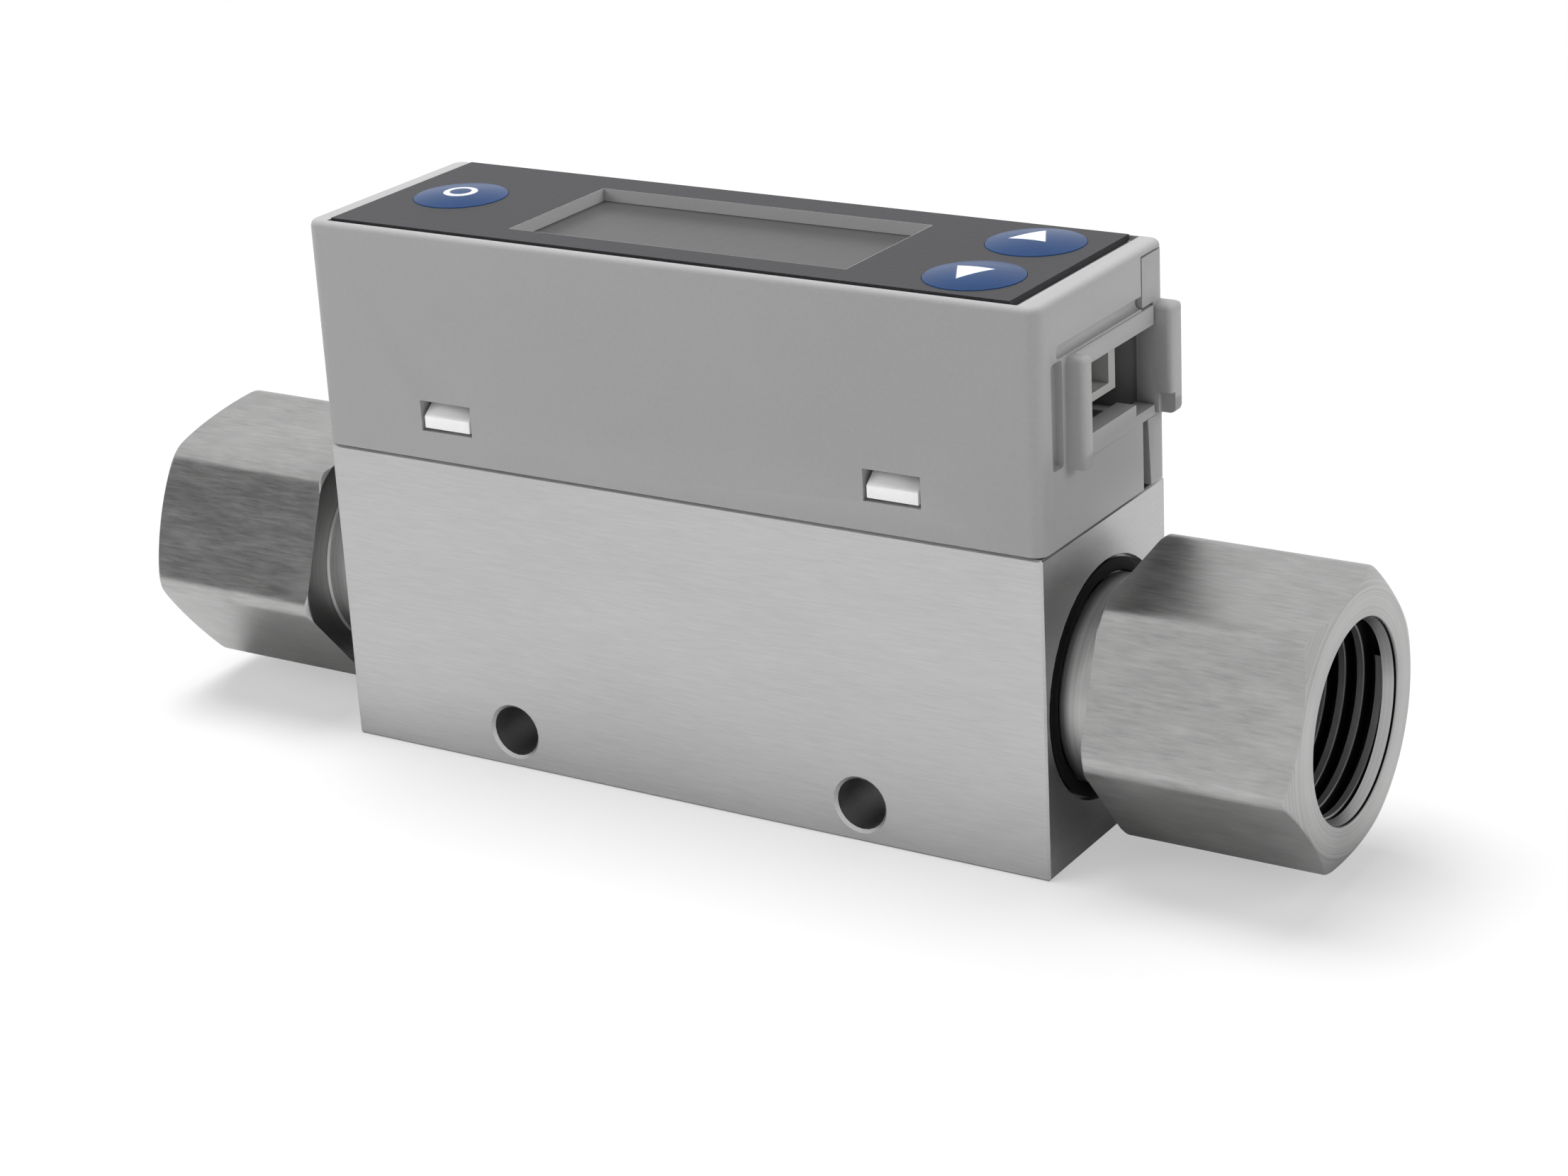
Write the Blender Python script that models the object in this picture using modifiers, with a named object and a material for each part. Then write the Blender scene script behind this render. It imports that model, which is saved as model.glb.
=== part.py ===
"""In-line gas mass flow meter: a metal flow block between two threaded hex fittings, with a snapped-on
plastic housing that carries a display, three keys and a cable socket.

Metres, +Z up. The origin is the middle of the block's underside. X runs along the gas flow, towards the
end with the cable socket, and the keypad is read from the -Y side.
"""

import math

import bmesh
import bpy
from mathutils import Matrix, Vector

# Clearances
GAP = 0.0003
CONTACT = 0.0001
BEYOND = 0.0010

# Facets of the round shapes
ROUND_STEPS = 48
HOLE_STEPS = 24
SCREW_STEPS = 12
KEY_STEPS = 32
DOME_STEPS = 4
SEAL_STEPS = 8
CORNER_STEPS = 4
EDGE_STEPS = 3

# Flow block
BLOCK_LENGTH = 0.0800
BLOCK_WIDTH = 0.0245
BLOCK_HEIGHT = 0.0314
BLOCK_EDGE = 0.0002
FLOW_HEIGHT = 0.0157
CHANNEL_RADIUS = 0.0060
MOUNT_SPACING = 0.0400
MOUNT_HEIGHT = 0.0038
MOUNT_RADIUS = 0.0026
MOUNT_BREAK = 0.0003

# Hex fittings
SPIGOT_RADIUS = 0.0090
SPIGOT_LENGTH = 0.0100
NECK_RADIUS = 0.0099
NECK_LENGTH = 0.0041
HEX_FLATS = 0.0248
HEX_LENGTH = 0.0206
HEX_EDGE = 0.0004
HEX_EDGE_ANGLE = 50
HEX_TURN = math.radians(10.4)
HEX_FACE_RADIUS = 0.0121
HEX_BACK_RADIUS = 0.0136
HEX_CHAMFER = math.radians(30)
THREAD_RADIUS = 0.0093
THREAD_DEPTH = 0.0160
THREAD_MOUTH = 0.0003

# Seal round each neck
SEAL_WIDTH = 0.0011
SEAL_THICKNESS = 0.0013
SEAL_DEPTH = 0.0008

# Honeycomb flow straightener
STRAIGHTENER_THICKNESS = 0.0024
CELL_RADIUS = 0.0009
CELL_PITCH = 0.0021

# Sensor
POCKET_LENGTH = 0.0300
POCKET_WIDTH = 0.0160
POCKET_DEPTH = 0.0060
THROAT_LENGTH = 0.0120
THROAT_WIDTH = 0.0070
CARRIER_THICKNESS = 0.0030
GASKET_THICKNESS = 0.0008
CHIP_SIZE = 0.0040
CHIP_THICKNESS = 0.0006
SENSOR_SCREW_X = 0.0115
SENSOR_SCREW_DEPTH = 0.0022
SENSOR_HEADER_LENGTH = 0.0050

# Screws
SCREW_RADIUS = 0.0010
SCREW_HEAD = 0.0019
SCREW_HEAD_HEIGHT = 0.0014
SCREW_SOCKET = 0.0009
SCREW_POINT = 0.0005

# Housing
HOUSING_SEAM = 0.0002
HOUSING_OVERHANG = 0.0002
HOUSING_HEIGHT = 0.0231
HOUSING_WALL = 0.0018
HOUSING_CORNER = 0.0013
HOUSING_TOP_EDGE = 0.0006
TOP_WALL = 0.0024
REAR_RETURN = 0.0047
REAR_SEAM = 0.0002
REAR_TOP_DROP = 0.0008
REAR_LAP = 0.0008
SLOT_TOP_WIDTH = 0.0008
SLOT_FOOT_WIDTH = 0.0014

# Snap windows and hooks
SNAP_FROM_END = 0.0152
SNAP_WIDTH = 0.0060
SNAP_HEIGHT = 0.0031
SNAP_RISE = 0.0031
HOOK_GAP = 0.0003
HOOK_RAMP = 0.0012
HOOK_TOP_GAP = 0.0006

# Overlay and display
RIM = 0.0007
END_RIM = 0.0022
OVERLAY_SIDE_GAP = 0.0003
OVERLAY_END_GAP = 0.0009
OVERLAY_THICKNESS = 0.0006
OVERLAY_PROUD = 0.0002
WINDOW_LENGTH = 0.0374
WINDOW_WIDTH = 0.0159
WINDOW_SHIFT = -0.0003
WINDOW_SKIN = 0.0005
GLASS_MARGIN_X = 0.0016
GLASS_MARGIN_Y = 0.0010
GLASS_THICKNESS = 0.0018
BACKLIGHT_THICKNESS = 0.0021
BACKLIGHT_WALL = 0.0010

# Keys
KEY_FROM_END = 0.0097
KEY_WEB = 0.0006
KEY_RADIUS = 0.0047
KEY_DOME = 0.0005
KEY_SHOULDER = 0.00005
KEY_FLANGE = 0.0005
KEY_FLANGE_THICKNESS = 0.0005
KEY_STEM = 0.0018
KEY_TRAVEL = 0.0003
SWITCH_SIZE = 0.0060
SWITCH_HEIGHT = 0.0016
SWITCH_BUTTON = 0.0015

# Boards
BOARD_THICKNESS = 0.0012
BOARD_END_GAP = 0.0004
BOARD_SIDE_GAP = 0.0011
MAIN_BOARD_SETBACK = 0.0017
BOARD_SCREW_X = 0.0185
BOARD_SCREW_Y = 0.0077
BOARD_SCREW_DEPTH = 0.0033
DISPLAY_SCREW_MARGIN = 0.0025
DISPLAY_SCREW_Y = 0.0070
DISPLAY_SCREW_DEPTH = 0.0022
HEADER_Y = 0.0070
HEADER_LENGTH = 0.0120
HEADER_WIDTH = 0.0025
PROCESSOR_SIZE = 0.0070
PROCESSOR_THICKNESS = 0.0014
PROCESSOR_X = -0.0120

# Chassis
CHASSIS_BASE = 0.0016
CHASSIS_WALL = 0.0014
CHASSIS_LIP = 0.0007
CHASSIS_SCREW_X = 0.0210
CHASSIS_SCREW_DEPTH = 0.0042
TONGUE_SLIT = 0.0006
POST_RADIUS = 0.0021

# Cable socket and the shroud round it
SHROUD_RISE = 0.0069
SHROUD_HEIGHT = 0.0105
SHROUD_PROUD = 0.0018
SHROUD_PLATE = 0.0019
SHROUD_EDGE = 0.0005
SHROUD_BAR = 0.0018
SHROUD_SILL = 0.0021
BAR_PROUD = 0.0002
OPENING_FRONT = -0.0055
REAR_PLATE = 0.0026
SILL_NOTCH_WIDTH = 0.0040
SILL_NOTCH_DEPTH = 0.0011
LATCH_POCKET = 0.0008
GROOVE_WIDTH = 0.0021
GROOVE_DEPTH = 0.0011
GROOVE_EDGE = 0.0004
GROOVE_MARGIN = 0.0006
GROOVE_TOP_WIDTH = 0.0012
GROOVE_TOP_DEPTH = 0.0006
SOCKET_RISE = 0.0012
SOCKET_WIDTH = 0.0124
SOCKET_HEIGHT = 0.0058
SOCKET_LENGTH = 0.0096
SOCKET_SIDE_WALL = 0.0013
SOCKET_FLOOR = 0.0008
SOCKET_BACK = 0.0020
PIN_COUNT = 4
PIN_PITCH = 0.0025
PIN_SIZE = 0.0005
PIN_REACH = 0.0045

# Levels and places that follow from the sizes above
HALF_BLOCK = BLOCK_LENGTH / 2
PORT_RADIUS = SPIGOT_RADIUS + GAP
PORT_DEPTH = SPIGOT_LENGTH + STRAIGHTENER_THICKNESS + 2 * GAP
SEAL_INNER = NECK_RADIUS + GAP
SEAL_OUTER = SEAL_INNER + SEAL_WIDTH
HALF_LENGTH = HALF_BLOCK + HOUSING_OVERHANG
HALF_WIDTH = BLOCK_WIDTH / 2 + HOUSING_OVERHANG
HOUSING_FOOT = BLOCK_HEIGHT + HOUSING_SEAM
HOUSING_TOP = BLOCK_HEIGHT + HOUSING_HEIGHT
INNER_X = HALF_LENGTH - HOUSING_WALL
INNER_Y = HALF_WIDTH - HOUSING_WALL
OVERLAY_TOP = HOUSING_TOP + OVERLAY_PROUD
OVERLAY_FOOT = OVERLAY_TOP - OVERLAY_THICKNESS
RECESS_FLOOR = OVERLAY_FOOT - CONTACT
RECESS_X = HALF_LENGTH - END_RIM
RECESS_Y = HALF_WIDTH - RIM
CEILING = RECESS_FLOOR - TOP_WALL
GLASS_TOP = RECESS_FLOOR - WINDOW_SKIN - CONTACT
GLASS_LENGTH = WINDOW_LENGTH + 2 * GLASS_MARGIN_X
GLASS_WIDTH = WINDOW_WIDTH + 2 * GLASS_MARGIN_Y
GLASS_FOOT = GLASS_TOP - GLASS_THICKNESS
BACKLIGHT_TOP = GLASS_FOOT - CONTACT
BACKLIGHT_FOOT = BACKLIGHT_TOP - BACKLIGHT_THICKNESS
DISPLAY_BOARD_TOP = BACKLIGHT_FOOT - CONTACT
DISPLAY_BOARD_FOOT = DISPLAY_BOARD_TOP - BOARD_THICKNESS
SHROUD_LOW = BLOCK_HEIGHT + SHROUD_RISE
SHROUD_TOP = SHROUD_LOW + SHROUD_HEIGHT
OPENING_LOW = SHROUD_LOW + SHROUD_SILL
OPENING_HIGH = SHROUD_TOP - SHROUD_BAR
MAIN_BOARD_TOP = OPENING_LOW + SOCKET_RISE
MAIN_BOARD_FOOT = MAIN_BOARD_TOP - BOARD_THICKNESS
BOARD_LENGTH = 2 * (INNER_X - BOARD_END_GAP)
MAIN_BOARD_LENGTH = BOARD_LENGTH - 2 * MAIN_BOARD_SETBACK
BOARD_WIDTH = 2 * (INNER_Y - BOARD_SIDE_GAP)
KEY_X = HALF_LENGTH - KEY_FROM_END
KEY_WELL_RADIUS = KEY_RADIUS + KEY_FLANGE + GAP
KEY_PAIR = KEY_WELL_RADIUS + KEY_WEB / 2
KEY_FLANGE_TOP = OVERLAY_FOOT - GAP
KEY_FLANGE_FOOT = KEY_FLANGE_TOP - KEY_FLANGE_THICKNESS
KEY_WELL_FLOOR = KEY_FLANGE_FOOT - KEY_TRAVEL - GAP
SWITCH_FOOT = DISPLAY_BOARD_TOP + CONTACT
SWITCH_TOP = SWITCH_FOOT + SWITCH_HEIGHT
BUTTON_TOP = CEILING + GAP
KEY_FOOT = BUTTON_TOP + KEY_TRAVEL + CONTACT
POCKET_FLOOR = BLOCK_HEIGHT - POCKET_DEPTH
CARRIER_FOOT = POCKET_FLOOR + GASKET_THICKNESS + 2 * CONTACT
CARRIER_TOP = CARRIER_FOOT + CARRIER_THICKNESS
CHANNEL_TOP = FLOW_HEIGHT + CHANNEL_RADIUS
SNAP_X = HALF_LENGTH - SNAP_FROM_END
SNAP_LOW = BLOCK_HEIGHT + SNAP_RISE
SNAP_HIGH = SNAP_LOW + SNAP_HEIGHT
CHASSIS_FOOT = BLOCK_HEIGHT + CONTACT
CHASSIS_FLOOR = CHASSIS_FOOT + CHASSIS_BASE
CHASSIS_TOP = SNAP_HIGH + CHASSIS_LIP
CHASSIS_X = INNER_X - GAP
CHASSIS_Y = INNER_Y - GAP
SOCKET_FRONT = INNER_X - GAP
SOCKET_FOOT = MAIN_BOARD_TOP + CONTACT
REAR_PLATE_FACE = HALF_WIDTH - REAR_PLATE
RETURN_Y = HALF_WIDTH - REAR_RETURN
REAR_TOP = HOUSING_TOP - REAR_TOP_DROP
HOLE_RADIUS = SCREW_RADIUS + GAP
KEY_PLACES = {
    "set_key": (-KEY_X, 0.0),
    "up_key": (KEY_X, KEY_PAIR),
    "down_key": (KEY_X, -KEY_PAIR),
}
DISPLAY_SCREW_X = GLASS_LENGTH / 2 + DISPLAY_SCREW_MARGIN


def mirrored_places(x, y):
    """The four places of a screw pattern about the middle."""
    return [(side * x, end * y) for side in (-1, 1) for end in (-1, 1)]


SENSOR_SCREWS = [(-SENSOR_SCREW_X, 0.0), (SENSOR_SCREW_X, 0.0)]
CHASSIS_SCREWS = [(-CHASSIS_SCREW_X, 0.0), (CHASSIS_SCREW_X, 0.0)]
BOARD_SCREWS = mirrored_places(BOARD_SCREW_X, BOARD_SCREW_Y)
DISPLAY_SCREWS = mirrored_places(DISPLAY_SCREW_X, DISPLAY_SCREW_Y)


def clear_scene():
    """Remove every object, mesh and curve of the start-up scene."""
    for item in list(bpy.data.objects):
        bpy.data.objects.remove(item, do_unlink=True)
    for block in (bpy.data.meshes, bpy.data.curves, bpy.data.materials):
        for item in list(block):
            block.remove(item)


def new_collection(name):
    """A collection linked to the scene."""
    collection = bpy.data.collections.new(name)
    bpy.context.scene.collection.children.link(collection)
    return collection


def new_material(name, colour, roughness, metallic=0.0):
    """A Principled material with one colour."""
    material = bpy.data.materials.new(name)
    material.use_nodes = True
    shader = material.node_tree.nodes["Principled BSDF"]
    shader.inputs["Base Color"].default_value = (*colour, 1.0)
    shader.inputs["Roughness"].default_value = roughness
    shader.inputs["Metallic"].default_value = metallic
    return material


clear_scene()
PARTS = new_collection("gas_mass_flow_meter")
CUTTERS = new_collection("cutters")
SATIN_METAL = new_material("satin_metal", (0.62, 0.63, 0.63), 0.34, 1.0)
STEEL = new_material("turned_steel", (0.50, 0.50, 0.49), 0.28, 1.0)
GREY_PLASTIC = new_material("grey_plastic", (0.33, 0.33, 0.33), 0.55)
WHITE_PLASTIC = new_material("white_plastic", (0.80, 0.80, 0.79), 0.45)
DARK_FILM = new_material("dark_film", (0.10, 0.10, 0.11), 0.50)
BLUE_GLOSS = new_material("blue_gloss", (0.02, 0.09, 0.28), 0.18)
BLACK_RUBBER = new_material("black_rubber", (0.02, 0.02, 0.02), 0.70)
BOARD_GREEN = new_material("board_green", (0.03, 0.16, 0.08), 0.45)
GLASS_GREY = new_material("display_glass", (0.21, 0.21, 0.21), 0.15)
BLACK_PLASTIC = new_material("black_plastic", (0.03, 0.03, 0.03), 0.40)
TIN = new_material("tinned_contact", (0.70, 0.68, 0.62), 0.25, 1.0)


def finish_mesh(name, mesh, material, sharp=35):
    """Give a mesh its material and shading, and make it a visible part."""
    mesh.name = name
    mesh.materials.append(material)
    mesh.shade_smooth()
    mesh.set_sharp_from_angle(angle=math.radians(sharp))
    part = bpy.data.objects.new(name, mesh)
    PARTS.objects.link(part)
    return part


def as_cutter(part):
    """Turn an object into a hidden cutter."""
    for collection in list(part.users_collection):
        collection.objects.unlink(part)
    CUTTERS.objects.link(part)
    part.hide_render = True
    part.display_type = "WIRE"
    return part


def boolean(part, tool, operation="DIFFERENCE"):
    """Cut, join or intersect a part with a tool through a modifier."""
    modifier = part.modifiers.new(f"{operation.lower()} {tool.name}", "BOOLEAN")
    modifier.operation = operation
    modifier.solver = "EXACT"
    modifier.object = tool
    return modifier


def bevelled(part, width, segments=2, angle=30):
    """Round a part's edges."""
    modifier = part.modifiers.new("rounded edges", "BEVEL")
    modifier.width = width
    modifier.segments = segments
    modifier.limit_method = "ANGLE"
    modifier.angle_limit = math.radians(angle)
    return modifier


def add_box(bm, low, high):
    """Add a box between two corners to a bmesh and return its vertices."""
    low = Vector(low)
    high = Vector(high)
    size = high - low
    place = Matrix.Translation((low + high) / 2) @ Matrix.Diagonal((*size, 1.0))
    return bmesh.ops.create_cube(bm, size=1.0, matrix=place)["verts"]


def boxes(name, corners, material=GREY_PLASTIC):
    """One object of boxes that don't meet, each given by its low and high corner."""
    bm = bmesh.new()
    for low, high in corners:
        add_box(bm, low, high)
    mesh = bpy.data.meshes.new(name)
    bm.to_mesh(mesh)
    bm.free()
    return finish_mesh(name, mesh, material)


def box(name, low, high, material=GREY_PLASTIC):
    """A single box between two corners."""
    return boxes(name, [(low, high)], material)


def centred_box(name, length, width, low, high, material=GREY_PLASTIC, at=(0.0, 0.0)):
    """A box around a point in plan, between two levels."""
    x, y = at
    near = (x - length / 2, y - width / 2, low)
    far = (x + length / 2, y + width / 2, high)
    return box(name, near, far, material)


def cylinders(name, radius, low, high, places, steps=HOLE_STEPS, material=GREY_PLASTIC):
    """Upright cylinders that don't meet, around places in plan."""
    bm = bmesh.new()
    for x, y in places:
        bmesh.ops.create_cone(
            bm, cap_ends=True, segments=steps, radius1=radius, radius2=radius, depth=high - low,
            matrix=Matrix.Translation((x, y, (low + high) / 2)),
        )
    mesh = bpy.data.meshes.new(name)
    bm.to_mesh(mesh)
    bm.free()
    return finish_mesh(name, mesh, material)


def screw_holes(part, name, low, high, places):
    """Cut clear holes for screws through a part."""
    boolean(part, as_cutter(cylinders(name, HOLE_RADIUS, low, high, places, SCREW_STEPS)))


def turned(name, profile, steps, material, ring=False):
    """A turned piece about Z: the profile runs down its outer side, and a ring's profile closes on itself."""
    mesh = bpy.data.meshes.new(name)
    edges = [(index, index + 1) for index in range(len(profile) - 1)]
    if ring:
        edges.append((len(profile) - 1, 0))
    mesh.from_pydata([(radius, 0.0, height) for radius, height in profile], edges, [])
    part = finish_mesh(name, mesh, material)
    screw = part.modifiers.new("turned", "SCREW")
    screw.axis = "Z"
    screw.angle = math.tau
    screw.steps = steps
    screw.render_steps = steps
    screw.use_merge_vertices = True
    screw.merge_threshold = 0.00001
    screw.use_smooth_shade = True
    return part


def lay_along_x(part, x, height, towards):
    """Lay a turned piece's Z axis along +X or -X at a height."""
    part.rotation_euler = (0.0, towards * math.pi / 2, 0.0)
    part.location = (x, 0.0, height)


def make_flow_block():
    """Metal block with the gas channel, its two ports, the sensor pocket and the mounting holes."""
    block = box(
        "flow_block",
        (-HALF_BLOCK, -BLOCK_WIDTH / 2, 0.0),
        (HALF_BLOCK, BLOCK_WIDTH / 2, BLOCK_HEIGHT),
        SATIN_METAL,
    )
    bevelled(block, BLOCK_EDGE, 1)
    beyond = HALF_BLOCK + BEYOND
    seal_end = HALF_BLOCK - SEAL_DEPTH
    port_end = HALF_BLOCK - PORT_DEPTH
    seat = SEAL_OUTER + GAP
    half_profile = [
        (seat, beyond), (seat, seal_end), (PORT_RADIUS, seal_end), (PORT_RADIUS, port_end),
        (CHANNEL_RADIUS, port_end),
    ]
    other_half = [(radius, -height) for radius, height in reversed(half_profile)]
    profile = [(0.0, beyond), *half_profile, *other_half, (0.0, -beyond)]
    channel = turned("channel_cutter", profile, ROUND_STEPS, SATIN_METAL)
    lay_along_x(channel, 0.0, FLOW_HEIGHT, 1)
    boolean(block, as_cutter(channel))
    pocket = centred_box("pocket_cutter", POCKET_LENGTH, POCKET_WIDTH, POCKET_FLOOR, BLOCK_HEIGHT + BEYOND)
    boolean(block, as_cutter(pocket))
    throat = centred_box("throat_cutter", THROAT_LENGTH, THROAT_WIDTH, FLOW_HEIGHT, POCKET_FLOOR + BEYOND)
    boolean(block, as_cutter(throat))
    half_width = BLOCK_WIDTH / 2
    mouth = MOUNT_RADIUS + MOUNT_BREAK + BEYOND
    for side, end in ((-1, "inlet"), (1, "outlet")):
        hole = turned(
            f"{end}_mount_hole",
            [
                (0.0, half_width + BEYOND), (mouth, half_width + BEYOND),
                (MOUNT_RADIUS, half_width - MOUNT_BREAK), (MOUNT_RADIUS, MOUNT_BREAK - half_width),
                (mouth, -half_width - BEYOND), (0.0, -half_width - BEYOND),
            ],
            HOLE_STEPS,
            SATIN_METAL,
        )
        hole.rotation_euler = (math.pi / 2, 0.0, 0.0)
        hole.location = (side * MOUNT_SPACING / 2, 0.0, MOUNT_HEIGHT)
        boolean(block, as_cutter(hole))
    tap_foot = BLOCK_HEIGHT - CHASSIS_SCREW_DEPTH - GAP
    screw_holes(block, "chassis_screw_taps", tap_foot, BLOCK_HEIGHT + BEYOND, CHASSIS_SCREWS)
    tap_foot = POCKET_FLOOR - SENSOR_SCREW_DEPTH - GAP
    screw_holes(block, "sensor_screw_taps", tap_foot, POCKET_FLOOR + BEYOND, SENSOR_SCREWS)
    return block


def hexagon(name, across, low, high, turn, material):
    """A hexagonal prism about Z."""
    bm = bmesh.new()
    radius = across / math.sqrt(3)
    place = Matrix.Translation((0.0, 0.0, (low + high) / 2)) @ Matrix.Rotation(turn, 4, "Z")
    bmesh.ops.create_cone(
        bm, cap_ends=True, segments=6, radius1=radius, radius2=radius, depth=high - low, matrix=place
    )
    mesh = bpy.data.meshes.new(name)
    bm.to_mesh(mesh)
    bm.free()
    return finish_mesh(name, mesh, material)


def make_fitting(name, towards):
    """Hex fitting with a threaded mouth, a round neck and a spigot that seats in the block."""
    back = NECK_LENGTH
    face = NECK_LENGTH + HEX_LENGTH
    reach = HEX_FLATS / math.sqrt(3) + BEYOND
    slope = math.tan(HEX_CHAMFER)
    # The two ends lie opposite ways along X, so opposite turns clock their flats alike.
    fitting = hexagon(name, HEX_FLATS, back, face, towards * HEX_TURN, STEEL)
    bevelled(fitting, HEX_EDGE, 2, HEX_EDGE_ANGLE)
    lathe = turned(
        f"{name}_lathe",
        [
            (0.0, face + BEYOND * slope), (HEX_FACE_RADIUS - BEYOND, face + BEYOND * slope),
            (reach, face - (reach - HEX_FACE_RADIUS) * slope),
            (reach, back + (reach - HEX_BACK_RADIUS) * slope),
            (HEX_BACK_RADIUS - BEYOND, back - BEYOND * slope), (0.0, back - BEYOND * slope),
        ],
        ROUND_STEPS,
        STEEL,
    )
    neck = turned(
        f"{name}_neck",
        [
            (0.0, back + BEYOND), (NECK_RADIUS, back + BEYOND), (NECK_RADIUS, -SEAL_DEPTH + GAP),
            (SPIGOT_RADIUS, -SEAL_DEPTH + GAP), (SPIGOT_RADIUS, -SPIGOT_LENGTH), (0.0, -SPIGOT_LENGTH),
        ],
        ROUND_STEPS,
        STEEL,
    )
    seat = face - THREAD_DEPTH
    mouth = THREAD_RADIUS + THREAD_MOUTH
    bore = turned(
        f"{name}_bore",
        [
            (0.0, face + BEYOND), (mouth + BEYOND, face + BEYOND), (THREAD_RADIUS, face - THREAD_MOUTH),
            (THREAD_RADIUS, seat), (CHANNEL_RADIUS, seat - (THREAD_RADIUS - CHANNEL_RADIUS) * slope),
            (CHANNEL_RADIUS, -SPIGOT_LENGTH - BEYOND), (0.0, -SPIGOT_LENGTH - BEYOND),
        ],
        ROUND_STEPS,
        STEEL,
    )
    for part in (fitting, lathe, neck, bore):
        lay_along_x(part, towards * HALF_BLOCK, FLOW_HEIGHT, towards)
    boolean(fitting, as_cutter(lathe), "INTERSECT")
    boolean(fitting, as_cutter(neck), "UNION")
    boolean(fitting, as_cutter(bore))
    return fitting


def make_seal(name, towards):
    """Rubber ring round a fitting's neck, squeezed into the seat in the block's face."""
    middle = (SEAL_INNER + SEAL_OUTER) / 2
    level = GAP - SEAL_DEPTH + SEAL_THICKNESS / 2
    section = []
    for step in range(SEAL_STEPS):
        angle = -math.tau * (step + 0.5) / SEAL_STEPS
        radius = middle + SEAL_WIDTH / 2 * math.cos(angle)
        section.append((radius, level + SEAL_THICKNESS / 2 * math.sin(angle)))
    seal = turned(name, section, ROUND_STEPS, BLACK_RUBBER, ring=True)
    lay_along_x(seal, towards * HALF_BLOCK, FLOW_HEIGHT, towards)
    return seal


def honeycomb_places():
    """Cell centres on a hexagonal grid, as rings round the middle that stay inside the channel."""
    places = [(0.0, 0.0)]
    ring = 1
    while ring * CELL_PITCH + CELL_RADIUS < CHANNEL_RADIUS:
        corners = [Vector((math.cos(i * math.pi / 3), math.sin(i * math.pi / 3))) for i in range(7)]
        for start, end in zip(corners, corners[1:]):
            for part in range(ring):
                places.append(tuple(start.lerp(end, part / ring) * ring * CELL_PITCH))
        ring += 1
    return places


def make_straightener(name, towards):
    """Honeycomb disc clamped between a spigot and the end of its port."""
    top = STRAIGHTENER_THICKNESS
    disc = cylinders(name, SPIGOT_RADIUS, 0.0, top, [(0.0, 0.0)], material=WHITE_PLASTIC)
    cells = cylinders(f"{name}_cells", CELL_RADIUS, -BEYOND, top + BEYOND, honeycomb_places(), 6)
    for part in (disc, cells):
        lay_along_x(part, towards * (HALF_BLOCK - PORT_DEPTH + GAP), FLOW_HEIGHT, towards)
    boolean(disc, as_cutter(cells))
    return disc


def make_screw(name, place, seat, length, up=False):
    """Cap screw whose head sits on a seat level, or hangs under it where it is driven upwards."""
    top = SCREW_HEAD_HEIGHT
    screw = turned(
        name,
        [
            (0.0, top), (SCREW_HEAD, top), (SCREW_HEAD, 0.0), (SCREW_RADIUS, 0.0),
            (SCREW_RADIUS, SCREW_POINT - length), (SCREW_RADIUS - SCREW_POINT, -length), (0.0, -length),
        ],
        SCREW_STEPS,
        STEEL,
    )
    socket = hexagon(f"{name}_socket", SCREW_SOCKET * math.sqrt(3), top / 2, top + BEYOND, 0.0, STEEL)
    for part in (screw, socket):
        part.location = (*place, seat)
        if up:
            part.rotation_euler = (math.pi, 0.0, 0.0)
    boolean(screw, as_cutter(socket))
    return screw


def make_sensor():
    """Sensor carrier with its gasket, chip, screws and header in the block's pocket."""
    length = POCKET_LENGTH - 2 * GAP
    width = POCKET_WIDTH - 2 * GAP
    foot = POCKET_FLOOR + CONTACT
    gasket = centred_box("sensor_gasket", length, width, foot, foot + GASKET_THICKNESS, BLACK_RUBBER)
    hole = centred_box("gasket_hole", THROAT_LENGTH, THROAT_WIDTH, foot - BEYOND, foot + BEYOND)
    boolean(gasket, as_cutter(hole))
    carrier = centred_box("sensor_carrier", length, width, CARRIER_FOOT, CARRIER_TOP, BLACK_PLASTIC)
    stem_length = THROAT_LENGTH - 2 * GAP
    stem_width = THROAT_WIDTH - 2 * GAP
    stem = centred_box("carrier_stem", stem_length, stem_width, CHANNEL_TOP, CARRIER_FOOT + BEYOND)
    boolean(carrier, as_cutter(stem), "UNION")
    chip_top = CHANNEL_TOP - CONTACT
    centred_box("sensor_chip", CHIP_SIZE, CHIP_SIZE, chip_top - CHIP_THICKNESS, chip_top, GLASS_GREY)
    screw_holes(carrier, "carrier_screw_holes", CARRIER_FOOT - BEYOND, CARRIER_TOP + BEYOND, SENSOR_SCREWS)
    screw_holes(gasket, "gasket_screw_holes", foot - BEYOND, foot + GASKET_THICKNESS + BEYOND, SENSOR_SCREWS)
    seat = CARRIER_TOP + CONTACT
    for index, place in enumerate(SENSOR_SCREWS, 1):
        make_screw(f"sensor_screw_{index}", place, seat, seat - POCKET_FLOOR + SENSOR_SCREW_DEPTH)
    centred_box(
        "sensor_header", SENSOR_HEADER_LENGTH, HEADER_WIDTH, seat, MAIN_BOARD_FOOT - CONTACT, BLACK_PLASTIC
    )


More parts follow.
